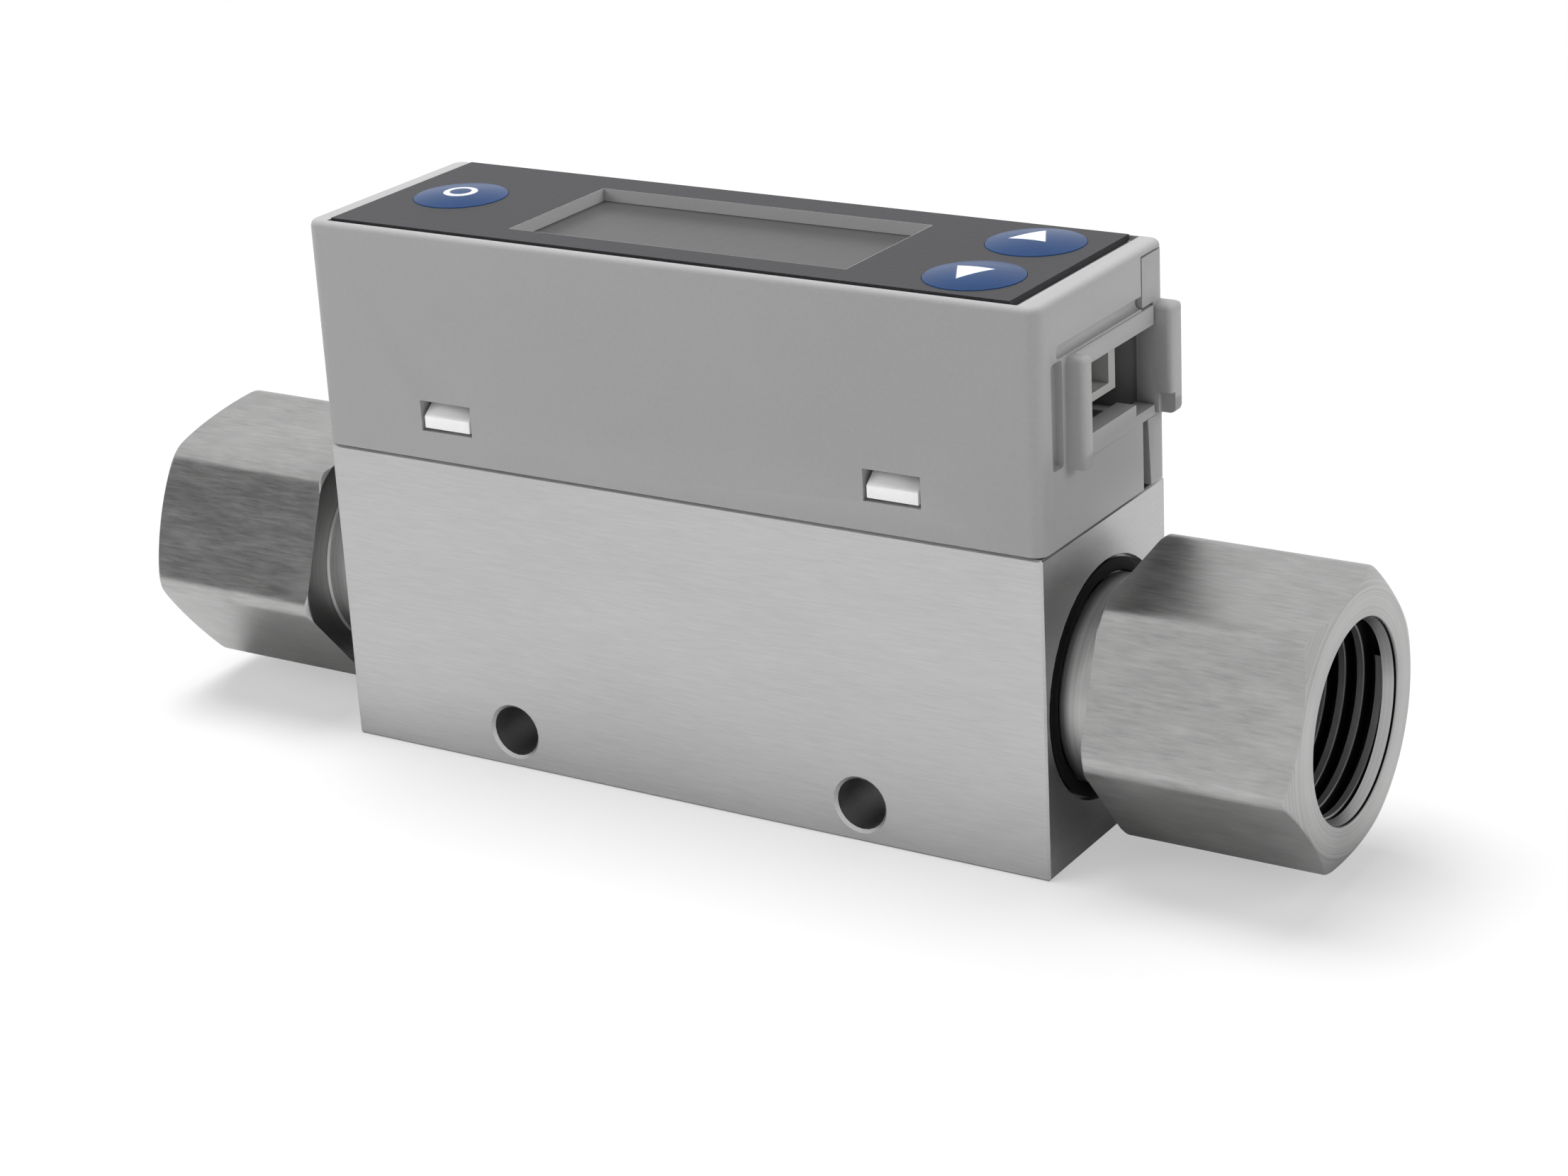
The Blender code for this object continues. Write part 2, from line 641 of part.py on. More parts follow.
def make_chassis():
    """White inner frame on the block, with board posts and four snap hooks."""
    chassis = centred_box(
        "inner_chassis", 2 * CHASSIS_X, 2 * CHASSIS_Y, CHASSIS_FOOT, CHASSIS_TOP, WHITE_PLASTIC
    )
    wall = 2 * CHASSIS_WALL
    top = CHASSIS_TOP + BEYOND
    trough = centred_box("chassis_trough", 2 * CHASSIS_X - wall, 2 * CHASSIS_Y - wall, CHASSIS_FLOOR, top)
    boolean(chassis, as_cutter(trough))
    foot = CHASSIS_FOOT - BEYOND
    window = centred_box("chassis_window", POCKET_LENGTH, POCKET_WIDTH, foot, CHASSIS_FLOOR + BEYOND)
    boolean(chassis, as_cutter(window))
    # A slit on each side of a hook leaves a springy tongue in the frame's side wall.
    slits = []
    for x in (-SNAP_X, SNAP_X):
        for edge in (-1, 1):
            centre = x + edge * (SNAP_WIDTH + TONGUE_SLIT) / 2
            for side in (-1, 1):
                y0, y1 = sorted((side * (CHASSIS_Y - CHASSIS_WALL - BEYOND), side * (CHASSIS_Y + BEYOND)))
                near = (centre - TONGUE_SLIT / 2, y0, CHASSIS_FLOOR)
                slits.append((near, (centre + TONGUE_SLIT / 2, y1, top)))
    boolean(chassis, as_cutter(boxes("tongue_slits", slits)))
    for x in (-SNAP_X, SNAP_X):
        for side in (-1, 1):
            boolean(chassis, as_cutter(make_hook(x, side)), "UNION")
    post_top = MAIN_BOARD_FOOT - CONTACT
    posts = cylinders("board_posts", POST_RADIUS, CHASSIS_FLOOR - CONTACT, post_top, BOARD_SCREWS)
    boolean(chassis, as_cutter(posts), "UNION")
    hole_foot = MAIN_BOARD_FOOT - BOARD_SCREW_DEPTH - GAP
    screw_holes(chassis, "board_post_holes", hole_foot, MAIN_BOARD_FOOT + BEYOND, BOARD_SCREWS)
    screw_holes(chassis, "chassis_base_holes", foot, CHASSIS_FLOOR + BEYOND, CHASSIS_SCREWS)
    seat = CHASSIS_FLOOR + CONTACT
    for index, place in enumerate(CHASSIS_SCREWS, 1):
        make_screw(f"chassis_screw_{index}", place, seat, seat - BLOCK_HEIGHT + CHASSIS_SCREW_DEPTH)
    return chassis


def extruded(name, outline, x, length, material=GREY_PLASTIC):
    """A prism along X from an outline of (y, z) points."""
    bm = bmesh.new()
    face = bm.faces.new([bm.verts.new((x, y, z)) for y, z in outline])
    sweep = bmesh.ops.extrude_face_region(bm, geom=[face])
    moved = [item for item in sweep["geom"] if isinstance(item, bmesh.types.BMVert)]
    bmesh.ops.translate(bm, verts=moved, vec=(length, 0.0, 0.0))
    bmesh.ops.recalc_face_normals(bm, faces=bm.faces)
    mesh = bpy.data.meshes.new(name)
    bm.to_mesh(mesh)
    bm.free()
    return finish_mesh(name, mesh, material)


def make_hook(x, side):
    """Wedge hook that fills one snap window: a flat catch below a ramp."""
    width = SNAP_WIDTH - 2 * HOOK_GAP
    root = CHASSIS_Y - GAP
    nose = HALF_WIDTH - CONTACT
    low = SNAP_LOW + HOOK_GAP
    knee = low + HOOK_RAMP
    high = SNAP_HIGH - HOOK_TOP_GAP
    outline = [(root, low), (nose, low), (nose, knee), (nose - HOOK_RAMP, high), (root, high)]
    name = f"hook_{'front' if side < 0 else 'back'}_{'left' if x < 0 else 'right'}"
    return extruded(name, [(side * y, z) for y, z in outline], x - width / 2, width, WHITE_PLASTIC)


def housing_blank(name):
    """Box with rounded upright corners and top edges, hollow and open at the bottom."""
    bm = bmesh.new()
    add_box(bm, (-HALF_LENGTH, -HALF_WIDTH, HOUSING_FOOT), (HALF_LENGTH, HALF_WIDTH, HOUSING_TOP))
    upright = [edge for edge in bm.edges if abs((edge.verts[0].co - edge.verts[1].co).z) > BEYOND]
    bmesh.ops.bevel(
        bm, geom=upright, offset=HOUSING_CORNER, segments=CORNER_STEPS, profile=0.5, affect="EDGES"
    )
    rim = [edge for edge in bm.edges if min(vert.co.z for vert in edge.verts) > HOUSING_TOP - CONTACT]
    bmesh.ops.bevel(bm, geom=rim, offset=HOUSING_TOP_EDGE, segments=EDGE_STEPS, profile=0.5, affect="EDGES")
    mesh = bpy.data.meshes.new(name)
    bm.to_mesh(mesh)
    bm.free()
    blank = finish_mesh(name, mesh, GREY_PLASTIC)
    cavity = centred_box(f"{name}_cavity", 2 * INNER_X, 2 * INNER_Y, HOUSING_FOOT - BEYOND, CEILING)
    boolean(blank, as_cutter(cavity))
    return blank


def rear_region(name, gap):
    """The space of the rear cover: the back wall and its two returns, grown by a gap."""
    far = HALF_WIDTH + BEYOND
    side = HALF_LENGTH + BEYOND
    top = REAR_TOP + gap
    foot = HOUSING_FOOT - BEYOND
    region = box(name, (-side, RETURN_Y - gap, foot), (side, far, top))
    inner_x = INNER_X - gap
    near_y = RETURN_Y - BEYOND
    middle = box(f"{name}_middle", (-inner_x, near_y, foot - BEYOND), (inner_x, INNER_Y - gap, top + BEYOND))
    boolean(region, as_cutter(middle))
    # Above the ceiling only a thin lap of the cover stands in front of the housing's top.
    lap_x = HALF_LENGTH - REAR_LAP - gap
    lap_y = HALF_WIDTH - REAR_LAP - gap
    step = CEILING - REAR_SEAM + gap
    upper = box(f"{name}_upper", (-lap_x, near_y - BEYOND, step), (lap_x, lap_y, top + BEYOND))
    boolean(region, as_cutter(upper))
    return as_cutter(region)


def tapered_slot():
    """The joint below the shroud, which widens towards the foot."""
    foot = HOUSING_FOOT - BEYOND
    outline = [
        (RETURN_Y - REAR_SEAM, foot), (RETURN_Y + SLOT_FOOT_WIDTH, foot),
        (RETURN_Y + SLOT_TOP_WIDTH, SHROUD_LOW), (RETURN_Y - REAR_SEAM, SHROUD_LOW),
    ]
    return as_cutter(extruded("tapered_slot", outline, INNER_X - BEYOND, HOUSING_WALL + 2 * BEYOND))


def snap_windows(name, side):
    """Cutter for one wall's two snap windows."""
    y0, y1 = sorted((side * (INNER_Y - BEYOND), side * (HALF_WIDTH + BEYOND)))
    half = SNAP_WIDTH / 2
    corners = [((x - half, y0, SNAP_LOW), (x + half, y1, SNAP_HIGH)) for x in (-SNAP_X, SNAP_X)]
    return as_cutter(boxes(name, corners))


def add_shroud(housing):
    """Add the shroud's front plate, top bar and sill round the socket opening, with the grooves beside it."""
    plate_front = OPENING_FRONT - SHROUD_PLATE
    plate = box(
        "shroud_plate",
        (INNER_X, plate_front, SHROUD_LOW),
        (HALF_LENGTH + SHROUD_PROUD, OPENING_FRONT, SHROUD_TOP),
    )
    bevelled(plate, SHROUD_EDGE)
    bars = box(
        "shroud_bars",
        (INNER_X, plate_front + SHROUD_EDGE, SHROUD_LOW),
        (HALF_LENGTH + BAR_PROUD, REAR_PLATE_FACE - REAR_SEAM, SHROUD_TOP),
    )
    boolean(housing, as_cutter(bars), "UNION")
    boolean(housing, as_cutter(plate), "UNION")
    opening = box(
        "socket_opening",
        (INNER_X - BEYOND, OPENING_FRONT, OPENING_LOW),
        (HALF_LENGTH + SHROUD_PROUD + BEYOND, REAR_PLATE_FACE + BEYOND, OPENING_HIGH),
    )
    boolean(housing, as_cutter(opening))
    notch = box(
        "sill_notch",
        (INNER_X - BEYOND, REAR_PLATE_FACE - SILL_NOTCH_WIDTH, OPENING_LOW - SILL_NOTCH_DEPTH),
        (HALF_LENGTH + BEYOND, REAR_PLATE_FACE, OPENING_LOW + BEYOND),
    )
    boolean(housing, as_cutter(notch))
    groove_end = plate_front - GROOVE_MARGIN
    side_groove = box(
        "side_groove",
        (HALF_LENGTH - GROOVE_DEPTH, groove_end - GROOVE_WIDTH, SHROUD_LOW + GROOVE_MARGIN),
        (HALF_LENGTH + BEYOND, groove_end, SHROUD_TOP),
    )
    top_groove = box(
        "top_groove",
        (HALF_LENGTH - GROOVE_TOP_DEPTH, groove_end - GROOVE_WIDTH / 2, SHROUD_TOP + REAR_SEAM),
        (HALF_LENGTH + BEYOND, RETURN_Y + BEYOND, SHROUD_TOP + REAR_SEAM + GROOVE_TOP_WIDTH),
    )
    for groove in (side_groove, top_groove):
        bevelled(groove, GROOVE_EDGE)
        boolean(housing, as_cutter(groove))


def add_keypad_seat(housing):
    """Cut the overlay's recess, the display window with its glass pocket, and the key wells."""
    recess = centred_box("keypad_recess", 2 * RECESS_X, 2 * RECESS_Y, RECESS_FLOOR, HOUSING_TOP + BEYOND)
    boolean(housing, as_cutter(recess))
    middle = (0.0, WINDOW_SHIFT)
    low = CEILING - BEYOND
    high = RECESS_FLOOR + BEYOND
    window = centred_box("display_window", WINDOW_LENGTH, WINDOW_WIDTH, low, high, at=middle)
    boolean(housing, as_cutter(window))
    length = GLASS_LENGTH + 2 * GAP
    width = GLASS_WIDTH + 2 * GAP
    pocket = centred_box("glass_pocket", length, width, low, RECESS_FLOOR - WINDOW_SKIN, at=middle)
    boolean(housing, as_cutter(pocket))
    places = list(KEY_PLACES.values())
    wells = cylinders("key_wells", KEY_WELL_RADIUS, KEY_WELL_FLOOR, high, places, KEY_STEPS)
    boolean(housing, as_cutter(wells))
    stems = cylinders("key_stem_holes", KEY_STEM + GAP, low, KEY_WELL_FLOOR + BEYOND, places)
    boolean(housing, as_cutter(stems))


def make_housing():
    """Housing: front and end walls, top with keypad seat, display bosses and the front of the shroud."""
    housing = housing_blank("housing")
    boolean(housing, rear_region("rear_region_clear", REAR_SEAM))
    add_shroud(housing)
    add_keypad_seat(housing)
    foot = DISPLAY_BOARD_TOP + CONTACT
    bosses = cylinders("display_bosses", POST_RADIUS, foot, CEILING + CONTACT, DISPLAY_SCREWS)
    boolean(housing, as_cutter(bosses), "UNION")
    hole_top = DISPLAY_BOARD_TOP + DISPLAY_SCREW_DEPTH + GAP
    screw_holes(housing, "display_boss_holes", foot - BEYOND, hole_top, DISPLAY_SCREWS)
    boolean(housing, snap_windows("front_snap_windows", -1))
    return housing


def make_rear_cover():
    """Back wall with its end returns, snap windows and the shroud's rear plate."""
    cover = housing_blank("rear_cover")
    boolean(cover, rear_region("rear_region", 0.0), "INTERSECT")
    # The housing's bars reach across the return to the rear plate, which stands just proud of this cut.
    bars_clear = box(
        "bars_clear",
        (INNER_X - BEYOND, RETURN_Y - BEYOND, SHROUD_LOW - REAR_SEAM),
        (HALF_LENGTH + BEYOND, REAR_PLATE_FACE + CONTACT, SHROUD_TOP + REAR_SEAM),
    )
    boolean(cover, as_cutter(bars_clear))
    plate = box(
        "rear_shroud_plate",
        (INNER_X, REAR_PLATE_FACE, SHROUD_LOW),
        (HALF_LENGTH + SHROUD_PROUD, HALF_WIDTH, SHROUD_TOP),
    )
    bevelled(plate, SHROUD_EDGE)
    boolean(cover, as_cutter(plate), "UNION")
    latch = box(
        "latch_pocket",
        (HALF_LENGTH + BAR_PROUD + GAP, REAR_PLATE_FACE - BEYOND, SHROUD_LOW - BEYOND),
        (HALF_LENGTH + SHROUD_PROUD + BEYOND, REAR_PLATE_FACE + LATCH_POCKET, OPENING_LOW),
    )
    boolean(cover, as_cutter(latch))
    boolean(cover, tapered_slot())
    boolean(cover, snap_windows("rear_snap_windows", 1))
    return cover


def make_overlay():
    """Stiff keypad overlay with a display window and three key holes."""
    overlay = box(
        "keypad_overlay",
        (OVERLAY_SIDE_GAP - RECESS_X, OVERLAY_SIDE_GAP - RECESS_Y, OVERLAY_FOOT),
        (RECESS_X - OVERLAY_END_GAP, RECESS_Y - OVERLAY_SIDE_GAP, OVERLAY_TOP),
        DARK_FILM,
    )
    low = OVERLAY_FOOT - BEYOND
    high = OVERLAY_TOP + BEYOND
    middle = (0.0, WINDOW_SHIFT)
    window = centred_box("overlay_window", WINDOW_LENGTH, WINDOW_WIDTH, low, high, at=middle)
    boolean(overlay, as_cutter(window))
    places = list(KEY_PLACES.values())
    holes = cylinders("overlay_key_holes", KEY_RADIUS + GAP, low, high, places, KEY_STEPS)
    boolean(overlay, as_cutter(holes))
    return overlay


def make_key(name, place):
    """Domed key with a holding flange under the overlay and a stem to its switch."""
    top = OVERLAY_TOP + KEY_DOME
    rise = KEY_DOME - KEY_SHOULDER
    sphere = (KEY_RADIUS**2 + rise**2) / (2 * rise)
    profile = []
    for step in range(DOME_STEPS + 1):
        radius = KEY_RADIUS * step / DOME_STEPS
        profile.append((radius, top - sphere + math.sqrt(sphere**2 - radius**2)))
    flange = KEY_RADIUS + KEY_FLANGE
    profile += [
        (KEY_RADIUS, KEY_FLANGE_TOP), (flange, KEY_FLANGE_TOP), (flange, KEY_FLANGE_FOOT),
        (KEY_STEM, KEY_FLANGE_FOOT), (KEY_STEM, KEY_FOOT), (0.0, KEY_FOOT),
    ]
    key = turned(name, [(radius, height - OVERLAY_TOP) for radius, height in profile], KEY_STEPS, BLUE_GLOSS)
    key.location = (*place, OVERLAY_TOP)
    return key


def make_switch(name, place):
    """Tactile switch under a key."""
    switch = centred_box(name, SWITCH_SIZE, SWITCH_SIZE, SWITCH_FOOT, SWITCH_TOP, BLACK_PLASTIC, at=place)
    low = SWITCH_TOP - CONTACT
    button = cylinders(f"{name}_button", SWITCH_BUTTON, low, BUTTON_TOP, [place], SCREW_STEPS)
    boolean(switch, as_cutter(button), "UNION")
    return switch


def make_display():
    """Display glass, its backlight frame and the board that carries them under the housing's bosses."""
    middle = (0.0, WINDOW_SHIFT)
    centred_box("display_glass", GLASS_LENGTH, GLASS_WIDTH, GLASS_FOOT, GLASS_TOP, GLASS_GREY, at=middle)
    frame = centred_box(
        "backlight_frame", GLASS_LENGTH, GLASS_WIDTH, BACKLIGHT_FOOT, BACKLIGHT_TOP, WHITE_PLASTIC, at=middle
    )
    wall = 2 * BACKLIGHT_WALL
    floor = BACKLIGHT_FOOT + BACKLIGHT_WALL
    top = BACKLIGHT_TOP + BEYOND
    tray = centred_box("backlight_tray", GLASS_LENGTH - wall, GLASS_WIDTH - wall, floor, top, at=middle)
    boolean(frame, as_cutter(tray))
    foot = DISPLAY_BOARD_FOOT
    board = centred_box("display_board", BOARD_LENGTH, BOARD_WIDTH, foot, DISPLAY_BOARD_TOP, BOARD_GREEN)
    screw_holes(board, "display_board_holes", foot - BEYOND, DISPLAY_BOARD_TOP + BEYOND, DISPLAY_SCREWS)
    length = BOARD_THICKNESS + CONTACT + DISPLAY_SCREW_DEPTH
    for index, place in enumerate(DISPLAY_SCREWS, 1):
        make_screw(f"display_screw_{index}", place, foot - CONTACT, length, up=True)
    return board


def make_main_board():
    """Main board with its screws, processor and the header up to the display board."""
    foot = MAIN_BOARD_FOOT
    board = centred_box("main_board", MAIN_BOARD_LENGTH, BOARD_WIDTH, foot, MAIN_BOARD_TOP, BOARD_GREEN)
    screw_holes(board, "main_board_holes", foot - BEYOND, MAIN_BOARD_TOP + BEYOND, BOARD_SCREWS)
    seat = MAIN_BOARD_TOP + CONTACT
    for index, place in enumerate(BOARD_SCREWS, 1):
        make_screw(f"board_screw_{index}", place, seat, seat - foot + BOARD_SCREW_DEPTH)
    centred_box(
        "board_header", HEADER_LENGTH, HEADER_WIDTH, seat, DISPLAY_BOARD_FOOT - CONTACT, BLACK_PLASTIC,
        at=(0.0, HEADER_Y),
    )
    top = seat + PROCESSOR_THICKNESS
    place = (PROCESSOR_X, 0.0)
    centred_box("processor", PROCESSOR_SIZE, PROCESSOR_SIZE, seat, top, BLACK_PLASTIC, at=place)
    return board


def make_socket():
    """Cable socket on the main board with its contact pins."""
    back = SOCKET_FRONT - SOCKET_LENGTH
    half = SOCKET_WIDTH / 2
    top = SOCKET_FOOT + SOCKET_HEIGHT
    socket = box("cable_socket", (back, -half, SOCKET_FOOT), (SOCKET_FRONT, half, top), WHITE_PLASTIC)
    cavity = box(
        "socket_cavity",
        (back + SOCKET_BACK, SOCKET_SIDE_WALL - half, SOCKET_FOOT + SOCKET_FLOOR),
        (SOCKET_FRONT + BEYOND, half - SOCKET_SIDE_WALL, top - SOCKET_FLOOR),
    )
    boolean(socket, as_cutter(cavity))
    middle = (SOCKET_FOOT + top) / 2
    start = back + SOCKET_BACK + CONTACT
    pin = PIN_SIZE / 2
    for index in range(PIN_COUNT):
        y = (index - (PIN_COUNT - 1) / 2) * PIN_PITCH
        near = (start, y - pin, middle - pin)
        box(f"socket_pin_{index + 1}", near, (start + PIN_REACH, y + pin, middle + pin), TIN)
    return socket


def main():
    """Make every piece of the flow meter."""
    make_flow_block()
    for name, towards in (("inlet", -1), ("outlet", 1)):
        make_fitting(f"{name}_fitting", towards)
        make_seal(f"{name}_seal", towards)
        make_straightener(f"{name}_straightener", towards)
    make_sensor()
    make_chassis()
    make_main_board()
    make_socket()
    make_display()
    for name, place in KEY_PLACES.items():
        make_key(name, place)
        make_switch(name.replace("key", "switch"), place)
    make_overlay()
    make_housing()
    make_rear_cover()
    bpy.context.view_layer.update()


main()
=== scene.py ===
"""Looks of an inline gas mass flow meter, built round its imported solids.

Every piece is made in metres in the solids' own frame: +X along the gas flow towards the cable
socket, +Z up through the keypad, and the block's underside at Z = 0. Sizes and colours that a user
would change are scene properties, and each operator makes one piece or one group of like pieces.
"""

import math

import bmesh
import bpy
from mathutils import Matrix, Vector


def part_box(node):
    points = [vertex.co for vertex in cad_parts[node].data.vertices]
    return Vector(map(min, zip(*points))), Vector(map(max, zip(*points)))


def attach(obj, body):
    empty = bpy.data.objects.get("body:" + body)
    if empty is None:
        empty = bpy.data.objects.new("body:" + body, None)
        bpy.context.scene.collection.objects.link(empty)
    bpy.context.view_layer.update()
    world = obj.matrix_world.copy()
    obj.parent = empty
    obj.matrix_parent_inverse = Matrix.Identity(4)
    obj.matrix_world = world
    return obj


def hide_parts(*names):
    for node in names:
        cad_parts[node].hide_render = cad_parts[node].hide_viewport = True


bl_info = {
    "name": "Gas Flow Meter",
    "version": (1, 0, 0),
    "blender": (4, 5, 0),
    "location": "3D View > Sidebar > Flow Meter",
    "description": "Finishes the pieces of an inline gas mass flow meter and sets its stage",
    "category": "Add Mesh",
}

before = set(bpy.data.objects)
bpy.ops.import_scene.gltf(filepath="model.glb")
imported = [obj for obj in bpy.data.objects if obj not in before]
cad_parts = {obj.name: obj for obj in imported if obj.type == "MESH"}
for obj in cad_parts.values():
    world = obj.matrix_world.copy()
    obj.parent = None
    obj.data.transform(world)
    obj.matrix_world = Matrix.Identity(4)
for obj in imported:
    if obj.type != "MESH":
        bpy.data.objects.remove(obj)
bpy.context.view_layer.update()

# Fittings, threads and seals
FLOW_AXIS_HEIGHT = 0.0157
NECK_FOOT = 0.040
HEX_BACK = 0.0441
FITTING_END = 0.0647
SPIGOT_END = 0.030
SPIGOT_RADIUS = 0.009
NECK_RADIUS = 0.0099
CHANNEL_RADIUS = 0.006
BORE_END = 0.0487
HEX_TURN = math.radians(10.4)
HEX_FLAT_INSET = 0.006
UNTURNED = 1.0
CHAMFER_SLOPE = 1 / math.tan(math.radians(30))
BACK_CHAMFER_DEPTH = 0.0006
BACK_CHAMFER_ROWS = 8
END_CHAMFER_DEPTH = 0.0014
END_CHAMFER_ROWS = 22
CROWN_DEPTH = 0.0012
LINE_TOP = 0.00025
LINE_FOOT = 0.00045
THREAD_TURNS = 7.3
THREAD_STEPS = 96
THREAD_FLANKS = 2 * math.tan(math.radians(27.5))
THREAD_RUN_OUT = 0.0003
TURNED_RADIUS = 0.0111
PAINTED_HIGHLIGHT_RADIUS = 0.00922
SEAL_STEPS = 24
SEAL_COLUMNS = 160
HAIR_GAP = 0.00005

# Window and keys
WINDOW_HALF_LENGTH = 0.0187
WINDOW_HALF_WIDTH = 0.00795
WINDOW_MIDDLE_Y = -0.0003
WINDOW_FOOT = 0.05342
WINDOW_BORDER = 0.0006
LINING_BACK = 0.00002
LINING_FACE = 0.00005
LINING_SETBACK = 0.00001
CORNERS = ((-1, -1), (1, -1), (1, 1), (-1, 1))
KEY_HOLE_RADIUS = 0.0050
KEY_FLANGE_TOP = 0.0015
KEY_FLANGE_FOOT = 0.0010
KEY_STEM_RADIUS = 0.0018
DOME_STEPS = 16
BROW_STEPS = 6
MARK_SIDE_SLOPE = 0.89

# Edges
BROKEN_EDGE = 0.0001
HOUSING_EDGE = 0.00012
SHARP_ANGLE = math.radians(38)
ROUNDED_ANGLE = math.radians(50)
BLOCK_SHARP_ANGLE = math.radians(20)
FLAT_ANGLE = math.radians(0.4)
MERGE_DISTANCE = 0.000001

# Cap screws
HEAD_EDGE_SHARE = 0.16
SOCKET_FLOOR_SHARE = 0.45
SHANK_TIP_SHARE = 0.7
SOCKET_SIDES = 6

# Stage
WHITE = (1.0, 1.0, 1.0, 1.0)
FLOOR_HALF_WIDTH = 3.0
FLOOR_LEVEL = -0.00002
FADE_START = 0.10
FADE_LENGTH = 0.30
NEAR_WHITE = 0.45
CAMERA_PLACE = (0.17659, -0.26474, 0.14097)
CAMERA_RIGHT = (0.84850, 0.52672, -0.05111)
CAMERA_UP = (-0.15011, 0.33217, 0.93120)

# Each key's node, body and mark
KEYS = {
    "set": ("set_key", "set_button", "ring"),
    "up": ("up_key", "up_button", "up"),
    "down": ("down_key", "down_button", "down"),
}


def length(name, description, default):
    """A length property in metres."""
    return bpy.props.FloatProperty(
        name=name, description=description, default=default, min=0.0, unit="LENGTH", precision=5
    )


def power(name, description, default):
    """A lamp's power."""
    return bpy.props.FloatProperty(
        name=name, description=description, default=default, min=0.0, unit="POWER"
    )


def colour(name, description, default):
    """A colour property."""
    return bpy.props.FloatVectorProperty(
        name=name,
        description=description,
        default=(*default, 1.0),
        size=4,
        min=0.0,
        max=1.0,
        subtype="COLOR",
    )


class FlowMeterFittingSizes(bpy.types.PropertyGroup):
    """Sizes of the two threaded hexagon fittings."""

    across_flats: length("Across flats", "Width of the hexagon across two flats", 0.0248)
    corner_round: length("Corner round", "How softly the hexagon's corners are broken", 0.0012)
    chamfer_round: length("Chamfer round", "How softly the turned chamfer meets the flats", 0.0002)
    face_radius: length("Face radius", "Radius of the flat end face", 0.0123)
    crown: length("Crown", "How far the end chamfer bulges from a straight cone", 0.0003)
    back_radius: length("Back radius", "Radius where the back chamfer starts", 0.0136)
    mouth_radius: length("Mouth radius", "Radius of the thread's mouth at the end face", 0.0096)
    mouth_depth: length("Mouth depth", "Depth of the plain lip before the first groove", 0.0014)
    thread_pitch: length("Thread pitch", "Distance between two crests", 0.001814)
    crest_radius: length("Crest radius", "Radius of the thread's crests", 0.0091)
    root_radius: length("Root radius", "Radius of the thread's roots", 0.0101)
    crest_width: length("Crest width", "Width of each crest", 0.0006)
    seal_rise: length("Seal rise", "How far each seal stands out of the block", 0.00015)
    columns: bpy.props.IntProperty(
        name="Columns", description="Steps round the fitting", default=360, min=60, max=720
    )


class FlowMeterKeySizes(bpy.types.PropertyGroup):
    """Sizes of the three keys and their marks."""

    dome_radius: length("Dome radius", "Radius of a key above the overlay", 0.0047)
    edge_round: length("Edge round", "Round between a key's dome and its side", 0.0001)
    dome_rise: length("Dome rise", "How far a key's middle stands above its edge", 0.00042)
    hole_gap: length("Hole gap", "Gap between a key and the film round it", 0.00005)
    mark_shift: length("Mark shift", "How far a triangle sits towards the window", 0.0005)
    triangle_half_width: length("Triangle half width", "Half of a triangle's base", 0.0019)
    triangle_height: length("Triangle height", "Height of a triangle", 0.0037)
    up_base: length("Up base", "How far the up mark's base is in front of the middle", 0.0008)
    down_base: length("Down base", "How far the down mark's base is behind the middle", 0.0013)
    ring_radius: length("Ring radius", "Radius of the set key's ring", 0.0014)
    mark_stroke: length("Mark stroke", "Half of the ring's line width", 0.0003)
    steps: bpy.props.IntProperty(
        name="Steps", description="Steps round a key", default=128, min=24, max=256
    )


class FlowMeterScrewSizes(bpy.types.PropertyGroup):
    """Sizes of the small cap screws inside."""

    shank_radius: length("Shank radius", "Radius of a screw's shank", 0.0010)
    head_height: length("Head height", "Height of a screw's head", 0.0014)
    socket_radius: length("Socket radius", "Corner radius of the hexagon socket", 0.0010)
    steps: bpy.props.IntProperty(
        name="Steps", description="Steps round a screw", default=40, min=12, max=96
    )


class FlowMeterColours(bpy.types.PropertyGroup):
    """Colours of the finishes."""

    block_metal: colour("Block metal", "Satin metal of the flow block", (0.475, 0.475, 0.475))
    fitting_metal: colour("Fitting metal", "Brushed steel of the fittings", (0.39, 0.39, 0.387))
    # Thread metal is painted near black in the grooves and bore as painted shade, and lighter on
    # the crests as painted highlight
    thread_metal: colour("Thread metal", "Steel inside the mouths", (0.30, 0.30, 0.30))
    screw_metal: colour("Screw metal", "Steel of the small screws", (0.42, 0.42, 0.42))
    housing_grey: colour("Housing grey", "Moulded plastic of the housing", (0.35, 0.35, 0.35))
    overlay_dark: colour("Overlay dark", "Grained film of the keypad", (0.041, 0.041, 0.044))
    # Lighter than the housing grey that the window walls are made of: painted light on walls that
    # sit in shade
    window_grey: colour("Window grey", "Walls of the display window", (0.50, 0.50, 0.50))
    display_grey: colour("Display grey", "Unlit display", (0.066, 0.066, 0.067))
    key_blue: colour("Key blue", "Gloss plastic of the keys", (0.011, 0.040, 0.120))
    mark_white: colour("Mark white", "Printed marks on the keys", (0.72, 0.74, 0.78))
    chassis_white: colour("Chassis white", "Plastic of the chassis", (0.95, 0.95, 0.95))
    # Mid grey where the socket is white plastic in the solids: painted shade for its deep cavity
    socket_grey: colour("Socket grey", "Plastic of the cable socket", (0.42, 0.42, 0.41))
    seal_black: colour("Seal black", "Rubber of the seals", (0.006, 0.006, 0.006))
    part_black: colour("Part black", "Plastic of headers and switches", (0.022, 0.022, 0.023))
    board_green: colour("Board green", "Solder mask of the boards", (0.008, 0.045, 0.026))
    trace_green: colour("Trace green", "Copper traces under the mask", (0.020, 0.110, 0.060))
    contact_tin: colour("Contact tin", "Tinned contacts", (0.66, 0.64, 0.58))


